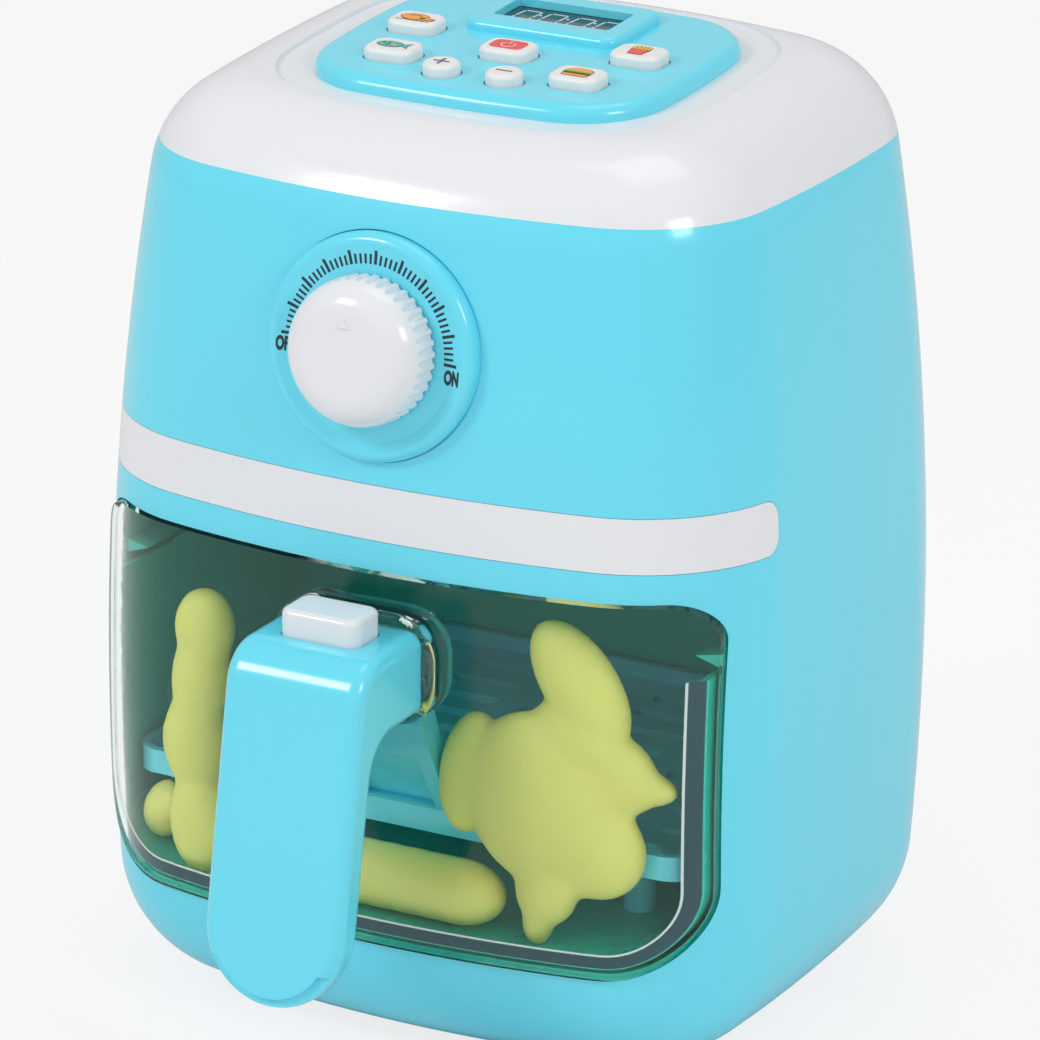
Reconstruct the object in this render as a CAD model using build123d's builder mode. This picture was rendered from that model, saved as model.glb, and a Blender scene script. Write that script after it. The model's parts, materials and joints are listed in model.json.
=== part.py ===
from build123d import *
import math
import os

os.makedirs("parts", exist_ok=True)

# A toy air fryer. Millimetres, +Z up, the front with its handle towards -Y.
# The origin is the centre of the footprint, on the surface that it stands on.

# Body
WIDTH = 180.0
DEPTH = 160.0
HEIGHT = 229.5
FRONT_BOW = 13.6
SIDE_BOW = 3.9
CORNER_ROUND = 40.8
SEAM_Z = 211.5
WIDEST_Z = 82.3
SEAM_SCALE = 0.889
FLOOR_SCALE = 0.964
BOTTOM_ROUND = 31.8
TOP_ROUND = 26.5
TOP_TILT = 3.2
SHELL_WALL = 2.4
LID_WALL = 3.2
LIP_HEIGHT = 4.0
LIP_THICK = 1.4
LIP_GAP = 0.3
GAP = 0.3

# Screws: shank and head radii, shared by every boss and pilot hole
SHANK_R = 1.3
HEAD_R = 2.6
HEAD_T = 1.6
PILOT_GAP = 0.05
SCREW_GAP = 0.3
BOSS_R = 3.5

# Underside
FOOT_HEIGHT = 3.0
FOOT_R = 5.5
FOOT_SEAT = 0.8
FOOT_X = 43.0
FOOT_Y = 33.5
LEDGE_WIDTH = 4.0
LEDGE_TOP = 4.2
PLATE_THICK = 2.0
PLATE_INSET = 33.0
PLATE_SCREW_X = 43.0
PLATE_SCREW_Y = 17.0
PLATE_PAD_TOP = 5.0

# Batteries
CELL_R = 7.1
CELL_LENGTH = 49.2
CELL_PITCH = 15.0
CELL_NUB_R = 2.6
CELL_NUB = 1.2
BOX_LENGTH = 57.0
BOX_WIDTH = 46.0
BOX_CEILING = 17.4
BOX_WALL = 1.6
DOOR_LAP = 0.9
DOOR_TAB = 9.0
DOOR_TAB_WIDTH = 11.0
DOOR_SCREW_LENGTH = 6.0
DOOR_POST_R = 6.5
DOOR_RIBS = 5
DOOR_RIB_PITCH = 3.0
DOOR_RIB_WIDTH = 1.0
DOOR_RIB_LENGTH = 16.0
CONTACT_THICK = 0.4
CONTACT_SIZE = 11.0
SPRING_R = 3.0

# Drawer front and tray
WINDOW_WIDTH = 164.0
WINDOW_BOTTOM = 31.5
WINDOW_TOP = 124.5
WINDOW_LOWER_ROUND = 22.0
WINDOW_UPPER_ROUND = 10.0
WINDOW_PROUD = 1.2
WINDOW_THICK = 3.0
WINDOW_GAP = 0.5
TRAY_HALF = 78.8
TRAY_FLOOR = 33.5
TRAY_TOP = 105.5
TRAY_BACK = 58.0
TRAY_REAR_ROUND = 34.0
TRAY_LOWER_ROUND = 19.5
TRAY_WALL = 1.8
JOIN_GAP = 0.1
FRONT_REACH = 92.0
DRAWER_TRAVEL = 115.0

# Drawer bay
BAY_GAP = 1.2
BAY_TOP = 127.0
LINER_WALL = 2.0
RUNNER_X = 44.0
RUNNER_WIDTH = 4.0
RUNNER_FRONT = -66.0
RUNNER_BACK = 48.0
RAIL_Z = 107.0
RAIL_DEPTH = 6.5
RAIL_HEIGHT = 4.0
RAIL_FRONT = -54.0
RAIL_BACK = 30.0

# Rack in the tray
RACK_Z = 54.0
RACK_FLOOR = 2.0
RACK_RIM = 6.0
RACK_RIM_THICK = 2.0
RACK_GAP = 3.2
RACK_FRONT = -59.5
RACK_FRONT_ROUND = 8.0
POST_WIDTH = 27.0
POST_WEB = 19.0
POST_THICK = 4.0
POST_TOP = 113.0
POST_LEAN = 12.0
POST_FLARE = 10.0
SLOT_LENGTH = 20.0
SLOT_WIDTH = 4.5
SLOT_PITCH_X = 26.0
SLOT_PITCH_Y = 11.0
SLOT_COLUMNS = 5
SLOT_ROWS = 9
LEG_R = 4.0
LEG_X = 52.0
LEG_Y = 36.0

# Handle
HANDLE_REACH = 125.4
HANDLE_HALF = 18.2
GRIP_THICK = 10.5
GRIP_LEAN = 9.5
GRIP_BOTTOM = 31.0
NECK_TOP = 114.0
NECK_BOTTOM = 93.5
OUTER_BEND = 11.0
INNER_BEND = 10.0
HANDLE_EDGE = 3.5
HANDLE_WALL = 2.0
COVER_DEPTH = 6.0
COVER_END_INSET = 3.0
COVER_STEP_Z = 42.0
RIM_SET_BACK = 1.8
GRIP_SCREWS_Z = (52.0, 78.0)
COLLAR_WIDTH = 3.0
COLLAR_DEPTH = 4.2
COLLAR_ROUND = 11.0
NECK_GAP = 0.4
BRACKET_WIDTH = 43.0
BRACKET_HEIGHT = 27.0
BRACKET_THICK = 2.2
BRACKET_SCREW_X = 7.5
BRACKET_SCREW_REACH = 14.0

# Release button on top of the handle
RELEASE_LENGTH_X = 20.5
RELEASE_LENGTH_Y = 13.0
RELEASE_Y = -95.1
RELEASE_PROUD = 6.5
RELEASE_FLANGE = 1.0
RELEASE_TRAVEL = 2.0
RELEASE_ROUND = 3.0
SPRING_WIRE = 0.5
SPRING_COIL_R = 3.0
SPRING_TURNS = 3

# Accent band
BAND_BOTTOM = 132.2
BAND_TOP = 145.3
BAND_END_Y = -38.5
BAND_END_ROUND = 4.5
BAND_THICK = 1.1
BAND_GAP = 0.15

# Timer dial
DIAL_Z = 178.0
BEZEL_R = 27.0
BEZEL_PROUD = 3.0
BEZEL_SEAT = 1.5
BEZEL_EDGE = 2.5
BEZEL_DISH = 0.5
BEZEL_WALL = 2.4
SPIGOT_R = 22.2
SPIGOT_DEPTH = 7.0
DIAL_BOSS_R = 30.0
DIAL_SCREW_R = 14.5
DIAL_SCREWS = 3
SHAFT_R = 3.0
SHAFT_GAP = 0.05
KNOB_R = 17.6
KNOB_HEIGHT = 12.0
KNOB_LIFT = 0.6
KNOB_EDGE = 8.0
KNOB_WALL = 2.2
KNOB_GROOVES = 40
GROOVE_R = 0.95
POINTER_OUT = 7.6
POINTER_SIZE = 1.6
POINTER_PROUD = 0.5
SWITCH_PLATE_R = 27.0
SWITCH_SIZE = 24.0
SWITCH_DEPTH = 12.0

# Control panel
RECESS = 1.0
RECESS_CLEAR = 6.0
RECESS_MARGIN = 9.5
PANEL_HALF_X = 46.0
PANEL_FRONT = -40.0
PANEL_BACK = 39.0
PANEL_BOW = 2.6
PANEL_ROUND = 22.0
PANEL_HEIGHT = 4.0
PANEL_WALL = 2.0
PANEL_EDGE = 3.2
PANEL_LEDGE = 4.5
HOOK_WIDTH = 8.0
HOOK_THICK = 1.5
HOOK_BARB = 1.2
CAP_X = 13.0
CAP_Y = 10.0
CAP_ROUND = 3.2
CAP_EDGE = 1.2
ROUND_CAP_R = 4.5
CAP_PROUD = 2.9
CAP_GAP = 0.4
CAP_FLANGE = 0.7
CAP_FLANGE_THICK = 0.9
CAP_TRAVEL = 1.0
CAP_PLACES = {
    "roast_button": (-29.8, -1.1),
    "fries_button": (29.8, -1.1),
    "fish_button": (-24.5, -22.1),
    "burger_button": (24.5, -22.1),
    "power_button": (0.0, -10.4),
}
ROUND_CAP_PLACES = {
    "plus_button": (-8.3, -28.3),
    "minus_button": (8.3, -28.3),
}
DOME_R = 2.6
MAT_THICK = 1.0
BOARD_INSET = 7.5
BOARD_THICK = 1.6
BOARD_DEPTH = 4.2
BOARD_POSTS = ((-15.6, -30.0), (15.6, -30.0), (-30.0, 15.0), (30.0, 15.0))
POST_R = 2.0
BOARD_SCREW_R = 0.8
MAT_INSET = 8.0
CHIP_SIZE = 9.0
CHIP_THICK = 1.4
CHIP_PLACE = (-10.0, -8.0)
CAPACITOR_R = 2.5
CAPACITOR_HEIGHT = 5.0
CAPACITOR_PLACE = (14.0, 0.0)
PIN_SIZE = 0.6
PIN_PITCH = 2.5
PINS_IN_ROW = 8
DISPLAY_FRAME_X = 41.0
DISPLAY_FRAME_Y = 27.0
DISPLAY_Y = 17.5
DISPLAY_RAISE = 2.5
DISPLAY_EDGE = 1.6
DISPLAY_OPEN_X = 31.0
DISPLAY_OPEN_Y = 14.0
LENS_THICK = 1.2
LCD_THICK = 2.4

# Lid fixings
EAR_X = 60.0
EAR_Y = 44.0
EAR_Z = 196.0
EAR_THICK = 3.0
EAR_SIZE = 34.0
LID_SCREW_LENGTH = 11.0

# Speaker behind the rear wall
SPEAKER_Z = 168.0
SPEAKER_R = 18.0
SPEAKER_RIM = 3.0
SPEAKER_SET_BACK = 3.6
MAGNET_R = 10.0
MAGNET_DEPTH = 7.0
GRILLE_HOLE_R = 1.2
GRILLE_RINGS = ((0.0, 1), (5.0, 6), (10.0, 12), (14.5, 18))
SPEAKER_BOSS_OUT = 22.0

# Play food in front of the rack
SAUSAGE_R = 8.2
SAUSAGE_LENGTH = 38.0
SAUSAGE_LEFT = -13.0
SAUSAGE_Y = -67.0

# Wires
WIRE_R = 1.1
WIRE_BEND = 6.8

BODY_Y = (HANDLE_REACH - DEPTH / 2) / 2
WINDOW_BACK = WINDOW_THICK - WINDOW_PROUD


def level(z, y=0.0, x=0.0):
    """Horizontal plane, z above the shell's underside, from the body's centre."""
    return Plane(origin=(x, BODY_Y + y, FOOT_HEIGHT + z))


def upright(y, z=0.0, x=0.0):
    """Plane that faces the front: its own x is X and its own y is up."""
    return Plane(origin=(x, BODY_Y + y, FOOT_HEIGHT + z), x_dir=(1, 0, 0), z_dir=(0, -1, 0))


def sideways(x=0.0, y=0.0, z=0.0):
    """Plane that faces right: its own x is depth (Y) and its own y is up."""
    return Plane(origin=(x, BODY_Y + y, FOOT_HEIGHT + z), x_dir=(0, 1, 0), z_dir=(1, 0, 0))


def leaning(y, z, lean, outward):
    """Plane on the front (outward -1) or rear (outward 1) wall, which leans in."""
    turn = math.radians(lean)
    normal = (0, outward * math.cos(turn), math.sin(turn))
    return Plane(origin=(0, BODY_Y + y, FOOT_HEIGHT + z), x_dir=(-outward, 0, 0), z_dir=normal)


def grip_y(z, depth=0.0):
    """Where the leaning grip's face is at a height, or a plane at a depth behind it."""
    turn = math.radians(GRIP_LEAN)
    rise = (z - GRIP_BOTTOM - HANDLE_EDGE) * math.tan(turn)
    return HANDLE_EDGE - HANDLE_REACH + rise + (depth - HANDLE_EDGE) / math.cos(turn)


def grip_face(z, depth=0.0):
    """Plane of the leaning grip's face at a height, or one at a depth behind it."""
    return leaning(grip_y(z), z, GRIP_LEAN, -1).offset(-depth)


TILT = math.radians(TOP_TILT)
LID_TOP = Plane(
    origin=(0, BODY_Y, FOOT_HEIGHT + HEIGHT),
    x_dir=(1, 0, 0),
    z_dir=(0, -math.sin(TILT), math.cos(TILT)),
)


def on_lid(height, x=0.0, y=0.0):
    """Plane parallel to the lid's top, with its own origin moved along it."""
    return Plane(LID_TOP.offset(height) * Pos(x, y, 0))


def body_scale(z):
    """Size of the plan section at a height, as a share of the widest one."""
    if z > WIDEST_Z:
        return 1 - (1 - SEAM_SCALE) * ((z - WIDEST_Z) / (SEAM_Z - WIDEST_Z)) ** 2
    return 1 - (1 - FLOOR_SCALE) * ((WIDEST_Z - z) / WIDEST_Z) ** 2


def wall_lean(z):
    """How far the front wall leans in above its widest height, in degrees."""
    rate = 2 * (1 - SEAM_SCALE) * (z - WIDEST_Z) / (SEAM_Z - WIDEST_Z) ** 2
    return math.degrees(math.atan(rate * DEPTH / 2))


def bowed_rectangle(plane, half_x, half_y, bow_x, bow_y, corner, inset=0.0):
    """Rectangle with four bowed sides joined by round corners, or a parallel inset of it."""
    side_r = ((half_y - bow_y) ** 2 + bow_x**2) / (2 * bow_x)
    front_r = ((half_x - bow_x) ** 2 + bow_y**2) / (2 * bow_y)
    side_centre = half_x - side_r
    front_centre = half_y - front_r
    # where the two inset arcs cross, before the corner is rounded
    apart = math.hypot(side_centre, front_centre)
    along = ((side_r - inset) ** 2 - (front_r - inset) ** 2 + apart**2) / (2 * apart)
    across = math.sqrt((side_r - inset) ** 2 - along**2)
    x = side_centre + (across * -front_centre - along * side_centre) / apart
    y = (along * front_centre - across * side_centre) / apart
    side = half_x - inset
    front = half_y - inset
    with BuildSketch(plane) as outline:
        with BuildLine():
            ThreePointArc((-x, -y), (0, -front), (x, -y))
            ThreePointArc((x, -y), (side, 0), (x, y))
            ThreePointArc((x, y), (0, front), (-x, y))
            ThreePointArc((-x, y), (-side, 0), (-x, -y))
        make_face()
        fillet(outline.vertices(), corner - inset)
    return outline.sketch


def body_outline(z, inset=0.0):
    """Plan section of the body at a height."""
    share = body_scale(z)
    return bowed_rectangle(
        level(z),
        WIDTH / 2 * share,
        DEPTH / 2 * share,
        SIDE_BOW * share,
        FRONT_BOW * share,
        CORNER_ROUND * share,
        inset,
    )


def body_form(inset=0.0):
    """The whole body as a solid, or a smaller or larger copy of it."""
    heights = [inset, 25, 50, WIDEST_Z, 115, 145, 175, 205, 225, 250]
    with BuildPart() as form:
        loft(sections=[body_outline(z, inset) for z in heights])
        split(bisect_by=LID_TOP.offset(-inset), keep=Keep.BOTTOM)
        fillet(form.edges().group_by(Axis.Z)[0], BOTTOM_ROUND - inset)
        fillet(form.faces().sort_by(Axis.Z)[-1].edges(), TOP_ROUND - inset)
    return form.part


def save(node, name):
    """Label a finished piece and write it to its own file."""
    node.part.label = name
    export_step(node.part, "parts/" + name + ".step")


outside = body_form()
inside = body_form(SHELL_WALL)
window_outside = body_form(-WINDOW_PROUD)
window_inside = body_form(WINDOW_BACK)
behind_window = body_form(WINDOW_BACK + JOIN_GAP)


def front_outline(y, grow=0.0):
    """Outline of the drawer window, seen from the front."""
    height = WINDOW_TOP - WINDOW_BOTTOM + 2 * grow
    with BuildSketch(upright(y, (WINDOW_TOP + WINDOW_BOTTOM) / 2)) as outline:
        Rectangle(WINDOW_WIDTH + 2 * grow, height)
        fillet(outline.vertices().group_by(Axis.Y)[0], WINDOW_LOWER_ROUND + grow)
        fillet(outline.vertices().group_by(Axis.Y)[-1], WINDOW_UPPER_ROUND + grow)
    return outline.sketch


def drawer_space(grow, top):
    """Space of the drawer tray, grown all round, up to a height."""
    width = 2 * (TRAY_HALF + grow)
    depth = TRAY_BACK + grow + FRONT_REACH
    height = top - TRAY_FLOOR + grow
    with BuildPart() as space:
        with BuildSketch(level(TRAY_FLOOR - grow, TRAY_BACK + grow - depth / 2)) as plan:
            Rectangle(width, depth)
            fillet(plan.vertices().group_by(Axis.Y)[-1], TRAY_REAR_ROUND + grow)
        extrude(amount=height)
        with BuildSketch(upright(TRAY_BACK + grow, TRAY_FLOOR - grow + height / 2)) as profile:
            Rectangle(width, height)
            fillet(profile.vertices().group_by(Axis.Y)[0], TRAY_LOWER_ROUND + grow)
        extrude(amount=depth, mode=Mode.INTERSECT)
    return space.part


def band_space(grow):
    """Block that bounds the accent band, as seen from the side."""
    length = DEPTH / 2 + BAND_END_ROUND + BAND_END_Y + 2 * grow + 20
    height = BAND_TOP - BAND_BOTTOM + 2 * grow
    middle = (BAND_TOP + BAND_BOTTOM) / 2
    with BuildPart() as space:
        with BuildSketch(sideways(0, BAND_END_Y + grow - length / 2, middle)) as end:
            Rectangle(length, height)
            fillet(end.vertices().group_by(Axis.X)[-1], BAND_END_ROUND + grow)
        extrude(amount=WIDTH, both=True)
    return space.part


def panel_outline(height, inset=0.0):
    """Outline of the control panel on the lid's sloping top."""
    middle = (PANEL_FRONT + PANEL_BACK) / 2
    half_depth = (PANEL_BACK - PANEL_FRONT) / 2
    plane = on_lid(height, 0, middle)
    return bowed_rectangle(
        plane, PANEL_HALF_X, half_depth, PANEL_BOW, PANEL_BOW, PANEL_ROUND, inset
    )


def corners(x, y):
    """Four places, mirrored left to right and front to back."""
    return [(sx * x, sy * y) for sx in (-1, 1) for sy in (-1, 1)]


def screw_group(planes, length, head_r=HEAD_R, shank_r=SHANK_R):
    """Screws whose heads sit on the planes, with their shanks below them."""
    with BuildPart() as group:
        for plane in planes:
            with BuildSketch(plane):
                Circle(head_r)
            extrude(amount=HEAD_T)
            with BuildSketch(plane.offset(HEAD_T)):
                Rectangle(1.3 * head_r, 0.3 * head_r)
                Rectangle(0.3 * head_r, 1.3 * head_r)
            extrude(amount=-0.5 * HEAD_T, mode=Mode.SUBTRACT)
            with BuildSketch(plane):
                Circle(shank_r)
            extrude(amount=-length)
    return group


# Accent band, let into the front of the shell

with BuildPart() as accent_band:
    add(outside)
    add(body_form(BAND_THICK), mode=Mode.SUBTRACT)
    add(band_space(0), mode=Mode.INTERSECT)
save(accent_band, "accent_band")

with BuildPart() as band_groove:
    add(window_outside)
    add(body_form(BAND_THICK + JOIN_GAP), mode=Mode.SUBTRACT)
    add(band_space(BAND_GAP), mode=Mode.INTERSECT)

# Housing shell

dial_y = -DEPTH / 2 * body_scale(DIAL_Z)
DIAL = leaning(dial_y, DIAL_Z, wall_lean(DIAL_Z), -1)
speaker_y = DEPTH / 2 * body_scale(SPEAKER_Z)
REAR = leaning(speaker_y, SPEAKER_Z, wall_lean(SPEAKER_Z), 1)
lid_screw_places = corners(EAR_X, EAR_Y)

with BuildPart() as corner_ears:
    with BuildSketch(level(EAR_Z)):
        with Locations(*corners(EAR_X + EAR_SIZE / 4, EAR_Y + EAR_SIZE / 4)):
            Rectangle(EAR_SIZE, EAR_SIZE)
        with Locations(*lid_screw_places):
            Circle(SHANK_R + SCREW_GAP, mode=Mode.SUBTRACT)
    extrude(amount=EAR_THICK)
    add(body_form(SHELL_WALL / 2), mode=Mode.INTERSECT)

with BuildPart() as housing_shell:
    add(outside)
    split(bisect_by=level(SEAM_Z), keep=Keep.BOTTOM)
    add(inside, mode=Mode.SUBTRACT)
    # floor with a ledge that the base plate is set into
    extrude(body_outline(0, PLATE_INSET - LEDGE_WIDTH), amount=LEDGE_TOP)
    extrude(body_outline(0, PLATE_INSET + LEDGE_WIDTH), amount=LEDGE_TOP, mode=Mode.SUBTRACT)
    extrude(body_outline(0, PLATE_INSET), amount=PLATE_THICK + JOIN_GAP, mode=Mode.SUBTRACT)
    # drawer opening and band groove
    extrude(front_outline(0, WINDOW_GAP), amount=DEPTH, mode=Mode.SUBTRACT)
    add(band_groove.part, mode=Mode.SUBTRACT)
    # dial seat, with a ring behind the wall
    with BuildSketch(DIAL.offset(-SPIGOT_DEPTH + 1)):
        Circle(DIAL_BOSS_R)
    extrude(amount=SPIGOT_DEPTH - 1 - SHELL_WALL + GAP)
    with BuildSketch(DIAL.offset(-BEZEL_SEAT)):
        Circle(BEZEL_R + GAP)
    extrude(amount=BEZEL_PROUD + BEZEL_SEAT, mode=Mode.SUBTRACT)
    with BuildSketch(DIAL.offset(-SPIGOT_DEPTH)):
        Circle(SPIGOT_R + GAP)
    extrude(amount=2 * SPIGOT_DEPTH, mode=Mode.SUBTRACT)
    # ears that the lid is screwed to
    add(corner_ears.part)
    # speaker grille, holder ring and its two screw bosses
    with BuildSketch(REAR.offset(-SPEAKER_RIM - SPEAKER_SET_BACK)):
        Circle(SPEAKER_R + GAP + BOX_WALL)
        Circle(SPEAKER_R + GAP, mode=Mode.SUBTRACT)
        with Locations((-SPEAKER_BOSS_OUT, 0), (SPEAKER_BOSS_OUT, 0)):
            Circle(BOSS_R)
            Circle(SHANK_R + PILOT_GAP, mode=Mode.SUBTRACT)
        Circle(SPEAKER_R + GAP, mode=Mode.SUBTRACT)
    extrude(amount=SPEAKER_RIM + SPEAKER_SET_BACK - 1)
    with BuildSketch(REAR.offset(2)):
        for ring, count in GRILLE_RINGS:
            with PolarLocations(ring, count):
                Circle(GRILLE_HOLE_R)
    extrude(amount=-3 * SHELL_WALL, mode=Mode.SUBTRACT)
save(housing_shell, "housing_shell")

# Lid, with a lip inside the shell and a shallow recess for the panel

with BuildPart() as recess_pad:
    extrude(panel_outline(-RECESS - LID_WALL, -RECESS_MARGIN - 2), amount=RECESS + LID_WALL)
    add(body_form(GAP), mode=Mode.INTERSECT)

with BuildPart() as lid_posts:
    with BuildSketch(level(EAR_Z + EAR_THICK)):
        with Locations(*lid_screw_places):
            Circle(BOSS_R)
    extrude(amount=HEIGHT - EAR_Z)
    add(body_form(LID_WALL / 2), mode=Mode.INTERSECT)

with BuildPart() as lid:
    add(outside)
    split(bisect_by=level(SEAM_Z), keep=Keep.TOP)
    add(body_form(LID_WALL), mode=Mode.SUBTRACT)
    add(recess_pad.part)
    extrude(panel_outline(-RECESS, -RECESS_MARGIN), amount=RECESS_CLEAR, mode=Mode.SUBTRACT)
    extrude(
        panel_outline(-RECESS - 2 * LID_WALL, PANEL_LEDGE), amount=3 * LID_WALL, mode=Mode.SUBTRACT
    )
    add(lid_posts.part)

with BuildPart() as lid_lip:
    add(body_form(SHELL_WALL + LIP_GAP))
    add(body_form(SHELL_WALL + LIP_GAP + LIP_THICK), mode=Mode.SUBTRACT)
    with BuildSketch(level(SEAM_Z - LIP_HEIGHT)):
        Rectangle(WIDTH, DEPTH)
    extrude(amount=LIP_HEIGHT + LIP_THICK, mode=Mode.INTERSECT)

with BuildPart() as lid_whole:
    add(lid.part)
    add(lid_lip.part)
    with BuildSketch(level(EAR_Z + EAR_THICK)):
        with Locations(*lid_screw_places):
            Circle(SHANK_R + PILOT_GAP)
    extrude(amount=LID_SCREW_LENGTH, mode=Mode.SUBTRACT)
save(lid_whole, "lid")

lid_screws = screw_group(
    [level(EAR_Z, y, x).rotated((180, 0, 0)) for x, y in lid_screw_places], LID_SCREW_LENGTH
)
save(lid_screws, "lid_screws")

# Drawer bay inside the shell, with runners, rails and screw posts for the base

with BuildPart() as chamber_liner:
    add(drawer_space(BAY_GAP + LINER_WALL, BAY_TOP + LINER_WALL))
    add(drawer_space(BAY_GAP, BAY_TOP), mode=Mode.SUBTRACT)
    add(body_form(SHELL_WALL + JOIN_GAP), mode=Mode.INTERSECT)
    runner_length = RUNNER_BACK - RUNNER_FRONT
    with BuildSketch(level(TRAY_FLOOR - BAY_GAP - LINER_WALL / 2, RUNNER_FRONT + runner_length / 2)):
        with Locations((-RUNNER_X, 0), (RUNNER_X, 0)):
            Rectangle(RUNNER_WIDTH, runner_length)
    extrude(amount=BAY_GAP + LINER_WALL / 2 - GAP)
    rail_root = TRAY_HALF + BAY_GAP + LINER_WALL / 2
    rail_tip = TRAY_HALF + BAY_GAP - RAIL_DEPTH
    for turn in (-1, 1):
        with BuildSketch(upright(RAIL_BACK)):
            with BuildLine():
                Polyline(
                    (turn * rail_root, RAIL_Z),
                    (turn * rail_tip, RAIL_Z + RAIL_HEIGHT * 0.6),
                    (turn * rail_root, RAIL_Z + RAIL_HEIGHT),
                    close=True,
                )
            make_face()
        extrude(amount=RAIL_BACK - RAIL_FRONT)
    with BuildSketch(level(PLATE_PAD_TOP + JOIN_GAP)):
        with Locations(*corners(PLATE_SCREW_X, PLATE_SCREW_Y)):
            Circle(BOSS_R)
    extrude(amount=TRAY_FLOOR - BAY_GAP - LINER_WALL / 2 - PLATE_PAD_TOP)
    with BuildSketch(level(PLATE_PAD_TOP)):
        with Locations(*corners(PLATE_SCREW_X, PLATE_SCREW_Y)):
            Circle(SHANK_R + PILOT_GAP)
    extrude(amount=LID_SCREW_LENGTH + PILOT_GAP, mode=Mode.SUBTRACT)
save(chamber_liner, "chamber_liner")

# Base plate with the battery box, its door and the feet

door_half = BOX_LENGTH / 2 + DOOR_LAP
door_screw_x = door_half + DOOR_TAB / 2


def door_outline(plane, grow=0.0):
    """Battery door with its screw tab, seen from below or above."""
    with BuildSketch(plane) as outline:
        RectangleRounded(2 * (door_half + grow), BOX_WIDTH + 2 * (DOOR_LAP + grow), 2)
        with Locations((door_half + DOOR_TAB / 2 - 2, 0)):
            RectangleRounded(DOOR_TAB + 4 + 2 * grow, DOOR_TAB_WIDTH + 2 * grow, 2)
    return outline.sketch


with BuildPart() as base_plate:
    extrude(body_outline(0, PLATE_INSET + GAP / 2), amount=PLATE_THICK)
    # battery box over the door opening
    with BuildSketch(level(PLATE_THICK)):
        RectangleRounded(BOX_LENGTH + 2 * BOX_WALL, BOX_WIDTH + 2 * BOX_WALL, 2)
    extrude(amount=BOX_CEILING + BOX_WALL - PLATE_THICK)
    extrude(door_outline(level(0), GAP), amount=PLATE_THICK, mode=Mode.SUBTRACT)
    # post for the door's screw
    with BuildSketch(level(PLATE_THICK)):
        with Locations((door_screw_x, 0)):
            Circle(DOOR_POST_R)
    extrude(amount=DOOR_SCREW_LENGTH)
    with BuildSketch(level(PLATE_THICK)):
        with Locations((door_screw_x, 0)):
            Circle(SHANK_R + PILOT_GAP)
    extrude(amount=DOOR_SCREW_LENGTH - BOX_WALL / 2, mode=Mode.SUBTRACT)
    with BuildSketch(level(PLATE_THICK)):
        Rectangle(BOX_LENGTH, BOX_WIDTH)
    extrude(amount=BOX_CEILING - PLATE_THICK, mode=Mode.SUBTRACT)
    # pads and counterbored holes for the screws into the bay
    with BuildSketch(level(PLATE_THICK / 2)):
        with Locations(*corners(PLATE_SCREW_X, PLATE_SCREW_Y)):
            Circle(HEAD_R + BOX_WALL + GAP)
    extrude(amount=PLATE_PAD_TOP - PLATE_THICK / 2)
    with Locations(level(0).rotated((180, 0, 0))):
        with Locations(*corners(PLATE_SCREW_X, PLATE_SCREW_Y)):
            CounterBoreHole(SHANK_R + SCREW_GAP, HEAD_R + GAP, HEAD_T + GAP, PLATE_PAD_TOP + 1)
    with BuildSketch(level(0)):
        with Locations(*corners(FOOT_X, FOOT_Y)):
            Circle(FOOT_R + JOIN_GAP)
    extrude(amount=FOOT_SEAT, mode=Mode.SUBTRACT)
save(base_plate, "base_plate")

with BuildPart() as battery_door:
    extrude(door_outline(level(0)), amount=PLATE_THICK - JOIN_GAP)
    # grip ribs under the door
    with BuildSketch(level(0)):
        with GridLocations(DOOR_RIB_PITCH, 0, DOOR_RIBS, 1):
            Rectangle(DOOR_RIB_WIDTH, DOOR_RIB_LENGTH)
    extrude(amount=FOOT_SEAT, mode=Mode.SUBTRACT)
    with BuildSketch(level(0)):
        with Locations((door_screw_x, 0)):
            Circle(SHANK_R + SCREW_GAP)
    extrude(amount=PLATE_THICK, mode=Mode.SUBTRACT)
    with BuildSketch(level(0)):
        with Locations((door_screw_x, 0)):
            Circle(HEAD_R + GAP)
    extrude(amount=PLATE_THICK / 2, mode=Mode.SUBTRACT)
save(battery_door, "battery_door")

door_screw = screw_group(
    [level(PLATE_THICK / 2, 0, door_screw_x).rotated((180, 0, 0))], DOOR_SCREW_LENGTH - 1
)
save(door_screw, "battery_door_screw")

base_screws = screw_group(
    [
        level(HEAD_T + GAP, y, x).rotated((180, 0, 0))
        for x, y in corners(PLATE_SCREW_X, PLATE_SCREW_Y)
    ],
    LID_SCREW_LENGTH,
)
save(base_screws, "base_screws")

with BuildPart() as rubber_feet:
    with BuildSketch(level(-FOOT_HEIGHT)):
        with Locations(*corners(FOOT_X, FOOT_Y)):
            Circle(FOOT_R)
    extrude(amount=FOOT_HEIGHT + FOOT_SEAT - JOIN_GAP)
    chamfer(rubber_feet.edges().group_by(Axis.Z)[0], FOOT_SEAT / 2)
save(rubber_feet, "rubber_feet")

cell_z = PLATE_THICK + CELL_R + GAP
with BuildPart() as battery_cells:
    for row in (-1, 0, 1):
        turn = 1 if row else -1
        with BuildSketch(sideways(-CELL_LENGTH / 2, row * CELL_PITCH, cell_z)):
            Circle(CELL_R)
        extrude(amount=CELL_LENGTH)
        with BuildSketch(sideways(turn * CELL_LENGTH / 2, row * CELL_PITCH, cell_z)):
            Circle(CELL_NUB_R)
        extrude(amount=turn * CELL_NUB)
save(battery_cells, "battery_cells")

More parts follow.
